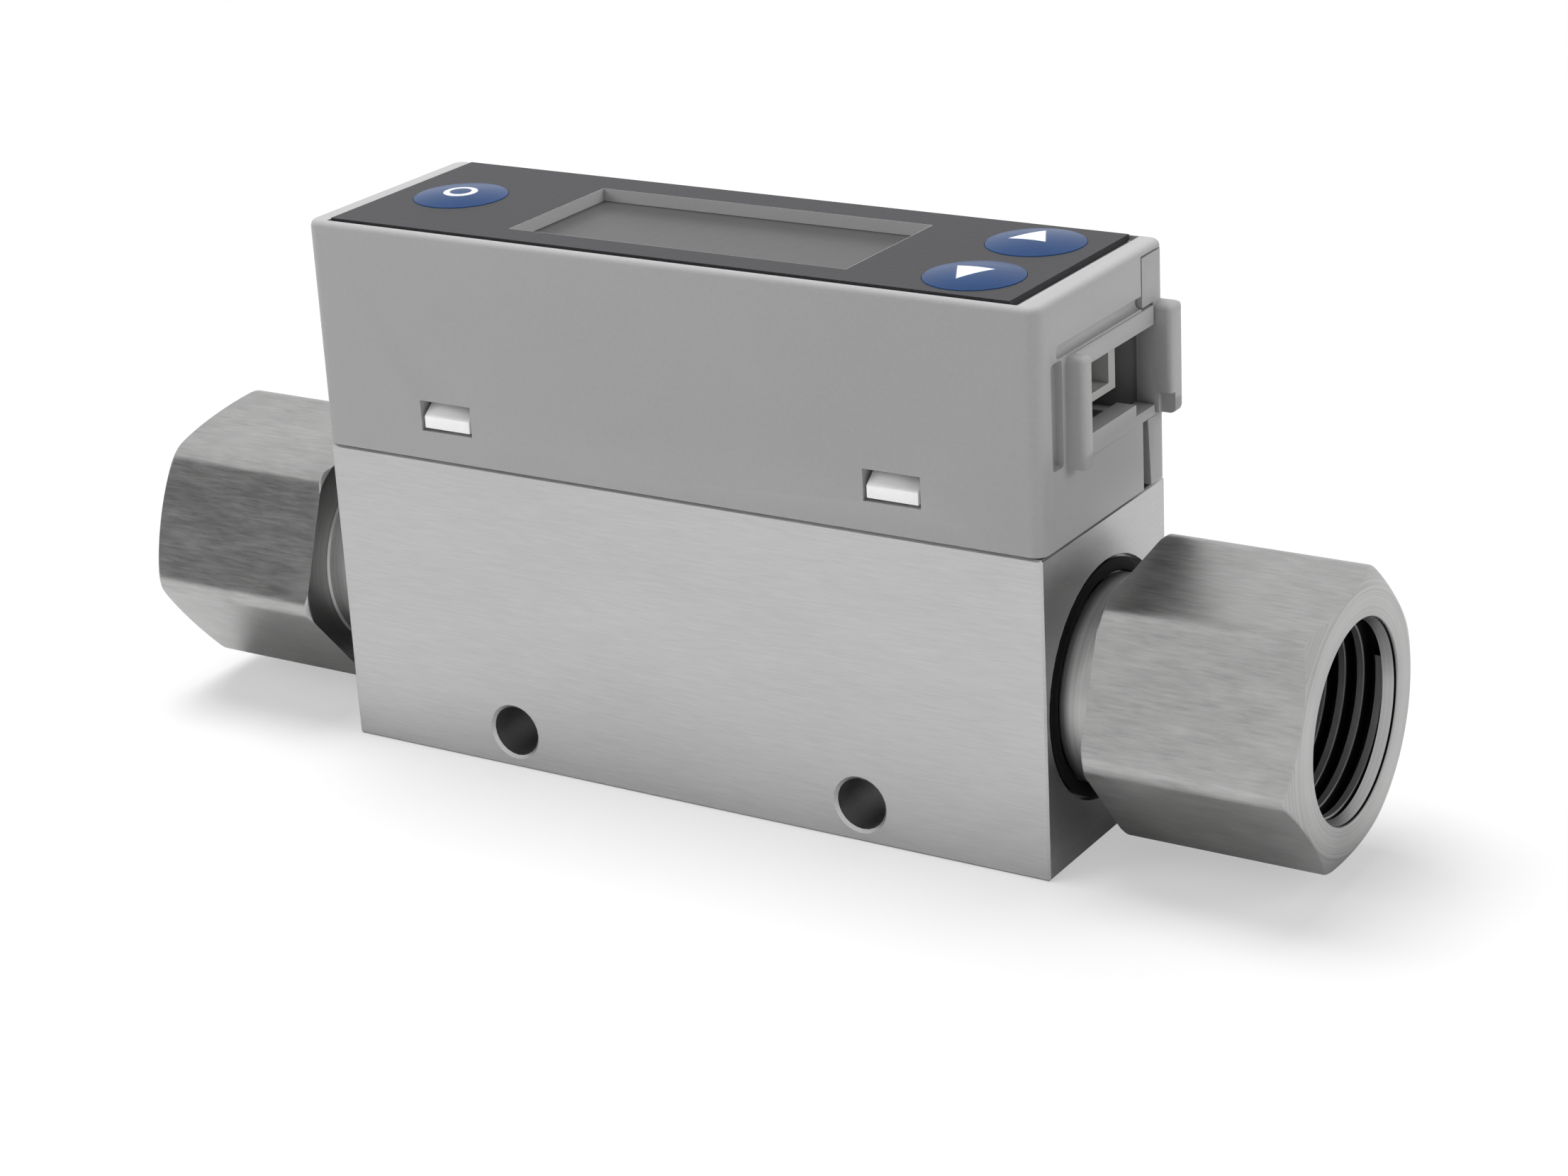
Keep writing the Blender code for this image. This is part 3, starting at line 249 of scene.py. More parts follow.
class FlowMeterStageSettings(bpy.types.PropertyGroup):
    """Light, floor and camera."""

    ambience: bpy.props.FloatProperty(
        name="Ambience", description="Even light from all round", default=0.30, min=0.0, max=1.0
    )
    top_power: power("Top lamp", "Power of the lamp above", 13.0)
    left_power: power("Left lamp", "Power of the lamp in front", 3.9)
    right_power: power("Right lamp", "Power of the lamp beside", 4.0)
    lens: bpy.props.FloatProperty(
        name="Lens", description="Focal length of the camera in millimetres", default=79.9, min=1.0
    )
    floor_white: colour("Floor white", "Paper floor", (0.72, 0.72, 0.72))


def both_ways(operation):
    """A Math operation and its reflected form, for one of Python's own operators."""
    return (
        lambda self, other: self.math(operation, self, other),
        lambda self, other: self.math(operation, other, self),
    )


class Value:
    """A number socket, so that a sum or a product of two adds its Math node."""

    __add__, __radd__ = both_ways("ADD")
    __sub__, __rsub__ = both_ways("SUBTRACT")
    __mul__, __rmul__ = both_ways("MULTIPLY")
    __truediv__, __rtruediv__ = both_ways("DIVIDE")
    __pow__, __rpow__ = both_ways("POWER")

    def __init__(self, tree, socket):
        self.tree = tree
        self.socket = socket

    def math(self, operation, *terms, clamp=False):
        """Adds one Math node over these terms, each a Value or a number."""
        settings = {"operation": operation, "use_clamp": clamp}
        return Graph(self.tree).node("ShaderNodeMath", settings, dict(enumerate(terms)))

    def __neg__(self):
        return self.math("MULTIPLY", self, -1.0)

    def __abs__(self):
        return self.math("ABSOLUTE", self)

    def least(self, other):
        """The lesser of two values."""
        return self.math("MINIMUM", self, other)

    def greatest(self, other):
        """The greater of two values."""
        return self.math("MAXIMUM", self, other)

    def clamped(self):
        """The value held between 0 and 1."""
        return self.math("ADD", self, 0.0, clamp=True)

    def inside(self, width):
        """1 where the value is positive and 0 where negative, with a soft edge of this width."""
        return self.math("ADD", self / width, 0.5, clamp=True)


class Graph:
    """The nodes of one tree, each added by its type, its settings and its sockets' values."""

    def __init__(self, tree):
        self.tree = tree

    def node(self, kind, settings=None, inputs=None, output=0):
        """Adds a node, sets it before it feeds its sockets, and gives one of its outputs."""
        node = self.tree.nodes.new(kind)
        for name, value in (settings or {}).items():
            setattr(node, name, value)
        for name, value in (inputs or {}).items():
            self.feed(node.inputs[name], value)
        return Value(self.tree, node.outputs[output]) if node.outputs else None

    def feed(self, socket, value):
        """Links a Value to a socket, or gives the socket a constant."""
        if isinstance(value, Value):
            self.tree.links.new(value.socket, socket)
        else:
            socket.default_value = value


class Finish(Graph):
    """A material with one Principled shader, plain until its patterns are linked."""

    def __init__(self, name, base, roughness, metallic=0.0, **constants):
        self.material = bpy.data.materials.new(name)
        self.material.use_nodes = True
        super().__init__(self.material.node_tree)
        self.shader = self.tree.nodes["Principled BSDF"]
        self.base = tuple(base)
        self.set("Base Color", self.base)
        self.set("Roughness", roughness)
        self.set("Metallic", metallic)
        for socket, value in constants.items():
            self.set(socket.replace("_", " "), value)
        sources = self.node("ShaderNodeTexCoord").socket.node.outputs
        self.place = Value(self.tree, sources["Object"])
        self.facing = Value(self.tree, sources["Normal"])

    def set(self, socket, value):
        """Gives one of the shader's sockets a constant or a link."""
        self.feed(self.shader.inputs[socket], value)

    def parts(self, vector):
        """The x, y and z of a vector."""
        split = self.node("ShaderNodeSeparateXYZ", inputs={0: vector}).socket.node
        return [Value(self.tree, socket) for socket in split.outputs]

    def mapped(self, scale=(1.0, 1.0, 1.0), centre=(0.0, 0.0, 0.0)):
        """Object coordinates, centred on a point and then stretched."""
        moved = self.node(
            "ShaderNodeVectorMath", {"operation": "SUBTRACT"}, {0: self.place, 1: centre}
        )
        return self.node("ShaderNodeVectorMath", {"operation": "MULTIPLY"}, {0: moved, 1: scale})

    def noise(self, scale, detail=2.0, roughness=0.5, stretch=None, over=None):
        """Noise from 0 to 1 over plain or stretched Object coordinates, or another vector."""
        vector = over or (self.mapped(stretch) if stretch else self.place)
        return self.node(
            "ShaderNodeTexNoise",
            inputs={"Vector": vector, "Scale": scale, "Detail": detail, "Roughness": roughness},
        )

    def mix(self, factor, low, high):
        """A colour between two."""
        return self.node(
            "ShaderNodeMix", {"data_type": "RGBA"}, {0: factor, 6: low, 7: high}, output=2
        )

    def shaded(self, low, high, factor):
        """The base colour made darker and lighter by a factor that runs from 0 to 1."""
        darker = tuple(c * low for c in self.base[:3])
        lighter = tuple(min(c * high, 1.0) for c in self.base[:3])
        return self.mix(factor, (*darker, 1.0), (*lighter, 1.0))

    def contrast(self, grain, grain_share, clouds, clouds_share):
        """A factor from 0 to 1 that follows two noises, each by its share."""
        return ((grain - 0.5) * grain_share + (clouds - 0.5) * clouds_share + 0.5).clamped()

    def round_flow(self, scale):
        """The distance from the flow axis, and fine rings turned round it."""
        x, y, z = self.parts(self.mapped(centre=(0.0, 0.0, FLOW_AXIS_HEIGHT)))
        radius = (y * y + z * z) ** 0.5
        along = self.node("ShaderNodeCombineXYZ", inputs={0: x, 1: radius, 2: 0.0})
        return radius, self.noise(scale, 3.0, 0.6, over=along)

    def done(self, shade, roughness, height, distance, strength=1.0):
        """Links the colour, the roughness and a relief of this depth, and gives the material."""
        relief = {"Strength": strength, "Distance": distance, "Height": height}
        self.set("Base Color", shade)
        self.set("Roughness", roughness)
        self.set("Normal", self.node("ShaderNodeBump", inputs=relief))
        return self.material


def satin_block(colours):
    """Satin metal with a fine grain along X on the long faces and along Y on the ends."""
    finish = Finish("satin_block", colours.block_metal, 0.40, 1.0)
    across = (abs(finish.parts(finish.facing)[0]) - 0.6).inside(0.1)
    long_grain = finish.noise(6500.0, 3.0, 0.62, stretch=(0.05, 1.0, 1.0))
    end_grain = finish.noise(6500.0, 3.0, 0.62, stretch=(1.0, 0.07, 1.0))
    grain = long_grain * (1.0 - across) + end_grain * across
    clouds = finish.noise(110.0, 3.0, stretch=(0.4, 1.0, 1.0))
    shade = finish.shaded(0.90, 1.10, finish.contrast(grain, 1.6, clouds, 0.5))
    return finish.done(shade, 0.36 + grain * 0.10, grain, 0.000008)


def brushed_fitting(colours):
    """Turned steel: short strokes along the flats, fine rings on the end face, neck and bore."""
    finish = Finish("brushed_fitting", colours.fitting_metal, 0.30, 1.0)
    radius, rings = finish.round_flow(5200.0)
    facing_x = abs(finish.parts(finish.facing)[0])
    turned = (facing_x - 0.35).inside(0.1).greatest((TURNED_RADIUS - radius).inside(0.0002))
    strokes = finish.noise(3600.0, 2.0, 0.6, stretch=(0.10, 1.0, 1.0))
    patches = finish.noise(620.0, 4.0, 0.65, stretch=(0.35, 1.0, 1.0))
    grain = (strokes * 0.55 + patches * 0.45) * (1.0 - turned) + rings * turned
    clouds = finish.noise(150.0)
    shade = finish.shaded(0.78, 1.22, finish.contrast(grain, 2.0, clouds, 0.6))
    return finish.done(shade, 0.26 + grain * 0.16, grain, 0.000014)


def thread_steel(colours):
    """Steel inside the mouths, with painted shade: near black in the grooves and the bore, and a
    painted highlight on the crests.
    """
    finish = Finish("thread_steel", colours.thread_metal, 0.42, 1.0)
    radius, rings = finish.round_flow(6000.0)
    crest = (PAINTED_HIGHLIGHT_RADIUS - radius).inside(0.00012)
    # Painted shade darkens everything but the crests to near black, and a painted highlight
    # lightens the crests
    shade = finish.shaded(0.06, 1.5, (crest * (0.55 + rings * 0.9)).clamped())
    return finish.done(shade, 0.36 + rings * 0.16, rings, 0.00001)


def moulded(name, base, roughness=0.52):
    """Moulded plastic with a fine etched skin and faint clouding."""
    finish = Finish(name, base, roughness)
    skin = finish.noise(2400.0, 3.0, 0.6)
    clouds = finish.noise(70.0)
    shade = finish.shaded(0.955, 1.045, finish.contrast(skin, 1.2, clouds, 0.8))
    return finish.done(shade, (roughness - 0.05) + skin * 0.10, skin, 0.00001)


def keypad_film(colours):
    """Dark polyester film with a fine pebble, lighter in its hollows."""
    finish = Finish("keypad_film", colours.overlay_dark, 0.50, Specular_IOR_Level=0.10)
    pebble = finish.node(
        "ShaderNodeTexVoronoi",
        {"feature": "SMOOTH_F1"},
        {"Vector": finish.place, "Scale": 2300.0, "Smoothness": 0.6},
    )
    skin = finish.noise(3400.0)
    height = pebble * 0.7 + skin * 0.3
    shade = finish.shaded(0.84, 1.20, ((height - 0.42) * 1.6 + 0.5).clamped())
    return finish.done(shade, 0.44 + height * 0.16, height, 0.00004, 0.6)


def display_face(colours):
    """Unlit display: a grey polariser under a thin clear front, with a faint border."""
    finish = Finish("display_face", colours.display_grey, 0.30, Specular_IOR_Level=0.12)
    x, y, _ = finish.parts(finish.mapped(centre=(0.0, WINDOW_MIDDLE_Y, 0.0)))
    past_x = abs(x) - (WINDOW_HALF_LENGTH - WINDOW_BORDER)
    past_y = abs(y) - (WINDOW_HALF_WIDTH - WINDOW_BORDER)
    border = past_x.greatest(past_y).inside(0.0003) * 0.35
    rows = finish.noise(1500.0, 1.0, stretch=(1.0, 0.15, 1.0))
    clouds = finish.noise(60.0)
    contrast = ((rows - 0.5) * 0.3 + (clouds - 0.5) * 0.8 + 0.5 - border).clamped()
    shade = finish.shaded(0.88, 1.12, contrast)
    return finish.done(shade, 0.26 + rows * 0.08, clouds, 0.00002, 0.3)


def key_gloss(colours, sizes, key):
    """Gloss blue plastic with a printed white mark: a ring, or a triangle pointing up or down."""
    node, _, mark = KEYS[key]
    middle = box_of(node)[2]
    finish = Finish(f"{key}_key_gloss", colours.key_blue, 0.26, Specular_IOR_Level=0.06)
    shift = 0.0 if mark == "ring" else sizes.mark_shift
    x, y, _ = finish.parts(finish.mapped(centre=(middle.x - shift, middle.y, 0.0)))
    if mark == "ring":
        radius = (x * x + y * y) ** 0.5
        inside = sizes.mark_stroke - abs(radius - sizes.ring_radius)
    else:
        rise = y + sizes.up_base if mark == "up" else sizes.down_base - y
        side = sizes.triangle_half_width * (1.0 - rise / sizes.triangle_height) - abs(x)
        inside = rise.least(side * MARK_SIDE_SLOPE)
    wear = finish.noise(1800.0, 3.0, 0.6)
    printed = inside.inside(0.00012) * (0.80 + wear * 0.25).clamped()
    clouds = finish.noise(260.0)
    shade = finish.mix(printed, finish.shaded(0.86, 1.16, clouds), tuple(colours.mark_white))
    return finish.done(shade, 0.22 + wear * 0.08 + printed * 0.12, wear, 0.000006)


def seal_rubber(colours):
    """Dull black rubber with a little dust."""
    finish = Finish("seal_rubber", colours.seal_black, 0.62, Specular_IOR_Level=0.15)
    dust = finish.noise(2600.0, 4.0, 0.7)
    shade = finish.shaded(0.7, 1.8, ((dust - 0.45) * 3.0).clamped())
    return finish.done(shade, 0.60 + dust * 0.2, dust, 0.00001)


def board_mask(colours):
    """Green solder mask over copper traces, with tinned pads where the traces meet."""
    finish = Finish("board_mask", colours.board_green, 0.30, Coat_Weight=0.3, Coat_Roughness=0.2)
    cells = {"Vector": finish.mapped((1.0, 1.0, 0.0)), "Scale": 420.0, "Randomness": 0.55}
    edges = finish.node("ShaderNodeTexVoronoi", {"feature": "DISTANCE_TO_EDGE"}, cells)
    traces = (0.09 - edges).inside(0.03)
    dots = finish.node("ShaderNodeTexVoronoi", inputs=cells)
    pads = (0.13 - dots).inside(0.03)
    weave = finish.noise(2200.0, stretch=(1.0, 0.2, 1.0))
    mask = finish.mix(traces, finish.shaded(0.9, 1.1, weave), tuple(colours.trace_green))
    finish.set("Metallic", pads * 0.9)
    shade = finish.mix(pads, mask, tuple(colours.contact_tin))
    return finish.done(shade, 0.28 + weave * 0.1, traces + pads, 0.00002, 0.6)


def small_steel(colours):
    """Plain steel of the small screws, faintly turned."""
    finish = Finish("small_steel", colours.screw_metal, 0.32, 1.0)
    rings = finish.noise(4200.0, 3.0, 0.6, stretch=(1.0, 1.0, 3.0))
    return finish.done(finish.shaded(0.82, 1.18, rings), 0.26 + rings * 0.14, rings, 0.00001)


def tinned(colours):
    """Tinned contacts, slightly cloudy."""
    finish = Finish("tinned", colours.contact_tin, 0.28, 1.0)
    clouds = finish.noise(2600.0, 3.0, stretch=(0.3, 1.0, 1.0))
    return finish.done(finish.shaded(0.85, 1.12, clouds), 0.22 + clouds * 0.14, clouds, 0.000008)


def box_of(node):
    """The low and high corners of a CAD node's box, and its middle."""
    low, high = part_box(node)
    return low, high, (low + high) / 2


def turns_of(steps):
    """Evenly spaced angles round a circle."""
    return [math.tau * step / steps for step in range(steps)]


def ring_round_flow(x, radii):
    """A ring of points round the flow axis, one for each radius, starting from +Y."""
    return [
        (x, radius * math.cos(turn), FLOW_AXIS_HEIGHT + radius * math.sin(turn))
        for turn, radius in zip(turns_of(len(radii)), radii)
    ]


def new_piece(name, data):
    """Puts a mesh, a lamp or a camera into the scene as an object at the origin."""
    piece = bpy.data.objects.new(name, data)
    bpy.context.scene.collection.objects.link(piece)
    return piece


def skin_piece(name, skin, material):
    """Makes a piece of a bmesh, which it frees, with one material."""
    mesh = bpy.data.meshes.new(name)
    skin.to_mesh(mesh)
    skin.free()
    mesh.materials.append(material)
    return new_piece(name, mesh)


def smooth(mesh, angle=SHARP_ANGLE):
    """Smooth faces with sharp edges where they meet at a wider angle."""
    mesh.shade_smooth()
    mesh.set_sharp_from_angle(angle=angle)


def skin_of_rings(name, rings, material, wraps=False):
    """A closed skin through rings of points, where one point is a pole and wraps joins the ends."""
    skin = bmesh.new()
    made = [[skin.verts.new(point) for point in ring] for ring in rings]
    for low, high in zip(made, made[1:] + made[:1] if wraps else made[1:]):
        count = max(len(low), len(high))
        for step in range(count):
            after = (step + 1) % count
            around = ((low, step), (low, after), (high, after), (high, step))
            corners = list(dict.fromkeys(ring[place % len(ring)] for ring, place in around))
            if len(corners) > 2:
                skin.faces.new(corners)
    bmesh.ops.recalc_face_normals(skin, faces=skin.faces)
    piece = skin_piece(name, skin, material)
    smooth(piece.data)
    return piece


def merged_copy(node, name, material):
    """A copy of a CAD node with its loose triangles merged into flat faces."""
    skin = bmesh.new()
    skin.from_mesh(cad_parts[node].data)
    bmesh.ops.remove_doubles(skin, verts=skin.verts, dist=MERGE_DISTANCE)
    bmesh.ops.dissolve_limit(skin, angle_limit=FLAT_ANGLE, verts=skin.verts, edges=skin.edges)
    return skin_piece(name, skin, material)


def settle(piece):
    """Turns a piece with live modifiers into a plain mesh."""
    evaluated = piece.evaluated_get(bpy.context.evaluated_depsgraph_get())
    mesh = bpy.data.meshes.new_from_object(evaluated)
    piece.modifiers.clear()
    old = piece.data
    piece.data = mesh
    bpy.data.meshes.remove(old)
    mesh.name = piece.name


def hand_over(piece, slot, *nodes, body="meter"):
    """Gives a finished piece its body and hides the CAD nodes that it stands for; slot is not used.
    """
    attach(piece, body)
    if nodes:
        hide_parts(*nodes)


def rounded_copy(node, name, material, slot, radius):
    """A CAD node's own shape with its sharp edges rounded, handed over in the node's place."""
    piece = merged_copy(node, name, material)
    piece.data.shade_smooth()
    rounding = piece.modifiers.new("broken edges", "BEVEL")
    rounding.width = radius
    rounding.segments = 2
    rounding.limit_method = "ANGLE"
    rounding.angle_limit = ROUNDED_ANGLE
    rounding.harden_normals = True
    settle(piece)
    hand_over(piece, slot, node)


def coat(material, *nodes):
    """Gives CAD nodes that stay a better material."""
    for node in nodes:
        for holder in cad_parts[node].material_slots:
            holder.material = material


def soft_least(first, second, softness):
    """The lesser of two lengths, blended where they are closer than the softness."""
    blend = max(softness - abs(first - second), 0.0) / softness
    return min(first, second) - blend * blend * softness / 4


def hexagon_radius(angle, sizes):
    """Radius of the rounded hexagon at an angle from +Y."""
    half_flat = sizes.across_flats / 2
    sixth = math.radians(60)
    off = (angle - HEX_TURN - math.radians(30)) % sixth
    first = half_flat / math.cos(off)
    second = half_flat / math.cos(sixth - off)
    return soft_least(first, second, sizes.corner_round)


def hexagon_rows(sizes):
    """Rows along the hexagon, dense at its chamfers: each a place on X and the turned radius."""
    rows = []
    for step in range(BACK_CHAMFER_ROWS + 1):
        inset = BACK_CHAMFER_DEPTH * step / BACK_CHAMFER_ROWS
        rows.append((HEX_BACK + inset, sizes.back_radius + inset * CHAMFER_SLOPE))
    rows.append((HEX_BACK + HEX_FLAT_INSET, UNTURNED))
    rows.append((FITTING_END - HEX_FLAT_INSET, UNTURNED))
    for step in range(END_CHAMFER_ROWS, -1, -1):
        inset = END_CHAMFER_DEPTH * (step / END_CHAMFER_ROWS) ** 1.5
        crown = sizes.crown * math.sin(math.pi * min(inset / CROWN_DEPTH, 1.0))
        rows.append((FITTING_END - inset, sizes.face_radius + crown + inset * CHAMFER_SLOPE))
    return rows


def make_fitting(side, towards, sizes, material, shade):
    """One fitting: spigot, neck, chamfered hexagon and the open bore, as one closed skin."""
    corners = [hexagon_radius(turn, sizes) for turn in turns_of(sizes.columns)]

    def turned(x, radius):
        return ring_round_flow(towards * x, [radius] * sizes.columns)

    def hexed(x, limit):
        radii = [soft_least(corner, limit, sizes.chamfer_round) for corner in corners]
        return ring_round_flow(towards * x, radii)

    edge = BROKEN_EDGE
    bore = sizes.crest_radius
    mouth = sizes.mouth_radius
    throat = FITTING_END - sizes.mouth_depth
    cone_end = BORE_END - (bore - CHANNEL_RADIUS) / CHAMFER_SLOPE
    rings = [
        turned(SPIGOT_END, CHANNEL_RADIUS + edge),
        turned(SPIGOT_END, SPIGOT_RADIUS - 2 * edge),
        turned(SPIGOT_END + 2 * edge, SPIGOT_RADIUS),
        turned(NECK_FOOT, SPIGOT_RADIUS),
        turned(NECK_FOOT, NECK_RADIUS - edge),
        turned(NECK_FOOT + edge, NECK_RADIUS),
        turned(HEX_BACK - 2 * edge, NECK_RADIUS),
        turned(HEX_BACK, NECK_RADIUS + 2 * edge),
        hexed(HEX_BACK, sizes.back_radius - 4 * edge),
    ]
    rings += [hexed(x, limit) for x, limit in hexagon_rows(sizes)]
    rings += [
        turned(FITTING_END, sizes.face_radius - 2 * edge),
        turned(FITTING_END, mouth),
        turned(FITTING_END - edge, mouth - 0.8 * edge),
        turned(FITTING_END - LINE_TOP, mouth - edge),
        turned(FITTING_END - LINE_TOP - HAIR_GAP, mouth),
        turned(FITTING_END - LINE_FOOT + HAIR_GAP, mouth),
        turned(FITTING_END - LINE_FOOT, mouth - 1.3 * edge),
        turned(throat, bore),
        turned(throat - THREAD_RUN_OUT, sizes.root_radius),
        turned(BORE_END + 7 * edge, sizes.root_radius),
        turned(BORE_END, bore),
        turned(cone_end, CHANNEL_RADIUS),
        turned(SPIGOT_END + edge, CHANNEL_RADIUS),
    ]
    fitting = skin_of_rings(f"{side}_hexagon", rings, material, wraps=True)
    # Faces of the bore and of the thin groove at the mouth take the thread steel, whose near black
    # there is painted shade
    fitting.data.materials.append(shade)
    for face in fitting.data.polygons:
        along, y, z = face.center
        radius = math.hypot(y, z - FLOW_AXIS_HEIGHT)
        in_bore = radius < sizes.root_radius and cone_end < abs(along) < throat
        in_line = radius < mouth and LINE_TOP < FITTING_END - abs(along) < LINE_FOOT
        if in_bore or in_line:
            face.material_index = 1
    hand_over(fitting, "turned_steel", f"{side}_fitting")


def new_plan(name, floats, takes_mesh=False):
    """A Geometry Nodes graph with these inputs and Steps, and each input's value by its name."""
    tree = bpy.data.node_groups.new(name, "GeometryNodeTree")
    sockets = [("Geometry", "INPUT", "NodeSocketGeometry")] if takes_mesh else []
    sockets += [(title, "INPUT", "NodeSocketFloat") for title in floats]
    sockets += [("Steps", "INPUT", "NodeSocketInt"), ("Geometry", "OUTPUT", "NodeSocketGeometry")]
    for title, way, kind in sockets:
        tree.interface.new_socket(title, in_out=way, socket_type=kind)
    plan = Graph(tree)
    given = plan.node("NodeGroupInput").socket.node.outputs
    return plan, {socket.name: Value(tree, socket) for socket in given if socket.name}


def end_plan(plan, geometry, material):
    """Ends a graph in Realize Instances and Set Material, and gives its tree."""
    joined = plan.node("GeometryNodeRealizeInstances", inputs={"Geometry": geometry})
    paint = {"Geometry": joined, "Material": material}
    painted = plan.node("GeometryNodeSetMaterial", inputs=paint)
    plan.node("NodeGroupOutput", inputs={"Geometry": painted})
    return plan.tree


def thread_plan(material):
    """Geometry nodes that sweep a thread's ridge along a helix, with its crest towards the axis."""
    plan, sizes = new_plan(
        "thread ridge",
        ("Turns", "Pitch", "Crest Radius", "Root Radius", "Crest Width", "Start", "Axis Height"),
    )
    height = sizes["Root Radius"] - sizes["Crest Radius"]
    middle = (sizes["Root Radius"] + sizes["Crest Radius"]) * 0.5
    helix = plan.node(
        "GeometryNodeCurveSpiral",
        inputs={
            "Resolution": sizes["Steps"],
            "Rotations": sizes["Turns"],
            "Start Radius": middle,
            "End Radius": middle,
            "Height": sizes["Turns"] * sizes["Pitch"],
            "Reverse": True,
        },
    )
    upright = plan.node("GeometryNodeSetCurveNormal", {"mode": "Z_UP"}, {"Curve": helix})
    ridge = plan.node(
        "GeometryNodeCurvePrimitiveQuadrilateral",
        {"mode": "TRAPEZOID"},
        {
            "Height": height,
            "Bottom Width": sizes["Crest Width"],
            "Top Width": sizes["Crest Width"] + height * THREAD_FLANKS,
            "Offset": 0.0,
        },
    )
    inward = plan.node(
        "GeometryNodeTransform", inputs={"Geometry": ridge, "Rotation": (0.0, 0.0, -math.pi / 2)}
    )
    swept = plan.node(
        "GeometryNodeCurveToMesh",
        inputs={"Curve": upright, "Profile Curve": inward, "Fill Caps": True},
    )
    place = plan.node("ShaderNodeCombineXYZ", inputs={0: sizes["Start"], 2: sizes["Axis Height"]})
    laid = plan.node(
        "GeometryNodeTransform",
        inputs={"Geometry": swept, "Translation": place, "Rotation": (0.0, math.pi / 2, 0.0)},
    )
    return end_plan(plan, laid, material)


def planned_piece(name, tree, values, mesh=None):
    """A smooth plain mesh made by a Geometry Nodes tree from values for its named inputs."""
    piece = new_piece(name, mesh or bpy.data.meshes.new(name))
    grown = piece.modifiers.new(tree.name, "NODES")
    grown.node_group = tree
    for item in tree.interface.items_tree:
        if item.in_out == "INPUT" and item.name in values:
            grown[item.identifier] = values[item.name]
    settle(piece)
    smooth(piece.data)
    return piece


class FLOWMETER_OT_fittings(bpy.types.Operator):
    """Make the two hexagon fittings and the threads in their mouths"""

    bl_idname = "flowmeter.fittings"
    bl_label = "Threaded fittings"

    def execute(self, context):
        sizes = context.scene.flow_fitting
        material = brushed_fitting(context.scene.flow_colours)
        shade = thread_steel(context.scene.flow_colours)
        tree = thread_plan(shade)
        reach = THREAD_TURNS * sizes.thread_pitch
        first = FITTING_END - sizes.mouth_depth - THREAD_RUN_OUT - reach
        for side, towards, start in (("inlet", -1.0, -first - reach), ("outlet", 1.0, first)):
            make_fitting(side, towards, sizes, material, shade)
            thread = planned_piece(
                f"{side}_thread",
                tree,
                {
                    "Turns": THREAD_TURNS,
                    "Pitch": sizes.thread_pitch,
                    "Crest Radius": sizes.crest_radius,
                    "Root Radius": sizes.root_radius + HAIR_GAP,
                    "Crest Width": sizes.crest_width,
                    "Start": start,
                    "Axis Height": FLOW_AXIS_HEIGHT,
                    "Steps": THREAD_STEPS,
                },
            )
            hand_over(thread, "turned_steel")
        return {"FINISHED"}


class FLOWMETER_OT_seals(bpy.types.Operator):
    """Make the rubber rings round the fittings' necks"""

    bl_idname = "flowmeter.seals"
    bl_label = "Neck seals"

    def execute(self, context):
        material = seal_rubber(context.scene.flow_colours)
        top = NECK_FOOT + context.scene.flow_fitting.seal_rise
        inner = NECK_RADIUS + HAIR_GAP
        for side, towards in (("inlet", -1.0), ("outlet", 1.0)):
            low, high, middle = box_of(f"{side}_seal")
            seat = min(abs(low.x), abs(high.x))
            outer = high.z - middle.z
            rings = []
            for turn in turns_of(SEAL_STEPS):
                x = (top + seat) / 2 + (top - seat) / 2 * math.cos(turn)
                radius = (outer + inner) / 2 + (outer - inner) / 2 * math.sin(turn)
                rings.append(ring_round_flow(towards * x, [radius] * SEAL_COLUMNS))
            ring = skin_of_rings(f"{side}_ring", rings, material, wraps=True)
            hand_over(ring, "black_rubber", f"{side}_seal")
        return {"FINISHED"}


class FLOWMETER_OT_block(bpy.types.Operator):
    """Finish the flow block in satin metal"""

    bl_idname = "flowmeter.block"
    bl_label = "Flow block"

    def execute(self, context):
        material = satin_block(context.scene.flow_colours)
        block = merged_copy("flow_block", "satin_flow_block", material)
        smooth(block.data, BLOCK_SHARP_ANGLE)
        hand_over(block, "satin_metal", "flow_block")
        return {"FINISHED"}


class FLOWMETER_OT_housing(bpy.types.Operator):
    """Make the moulded housing and its rear cover"""

    bl_idname = "flowmeter.housing"
    bl_label = "Housing and rear cover"

    def execute(self, context):
        material = moulded("housing_grey", context.scene.flow_colours.housing_grey)
        for node in ("housing", "rear_cover"):
            rounded_copy(node, f"moulded_{node}", material, "grey_plastic", HOUSING_EDGE)
        return {"FINISHED"}


class FLOWMETER_OT_chassis(bpy.types.Operator):
    """Make the white inner chassis, whose hooks show in the front windows"""

    bl_idname = "flowmeter.chassis"
    bl_label = "Inner chassis"

    def execute(self, context):
        material = moulded("chassis_white", context.scene.flow_colours.chassis_white, 0.42)
        rounded_copy("inner_chassis", "hooked_chassis", material, "white_plastic", BROKEN_EDGE)
        coat(material, "backlight_frame", "inlet_straightener", "outlet_straightener")
        return {"FINISHED"}


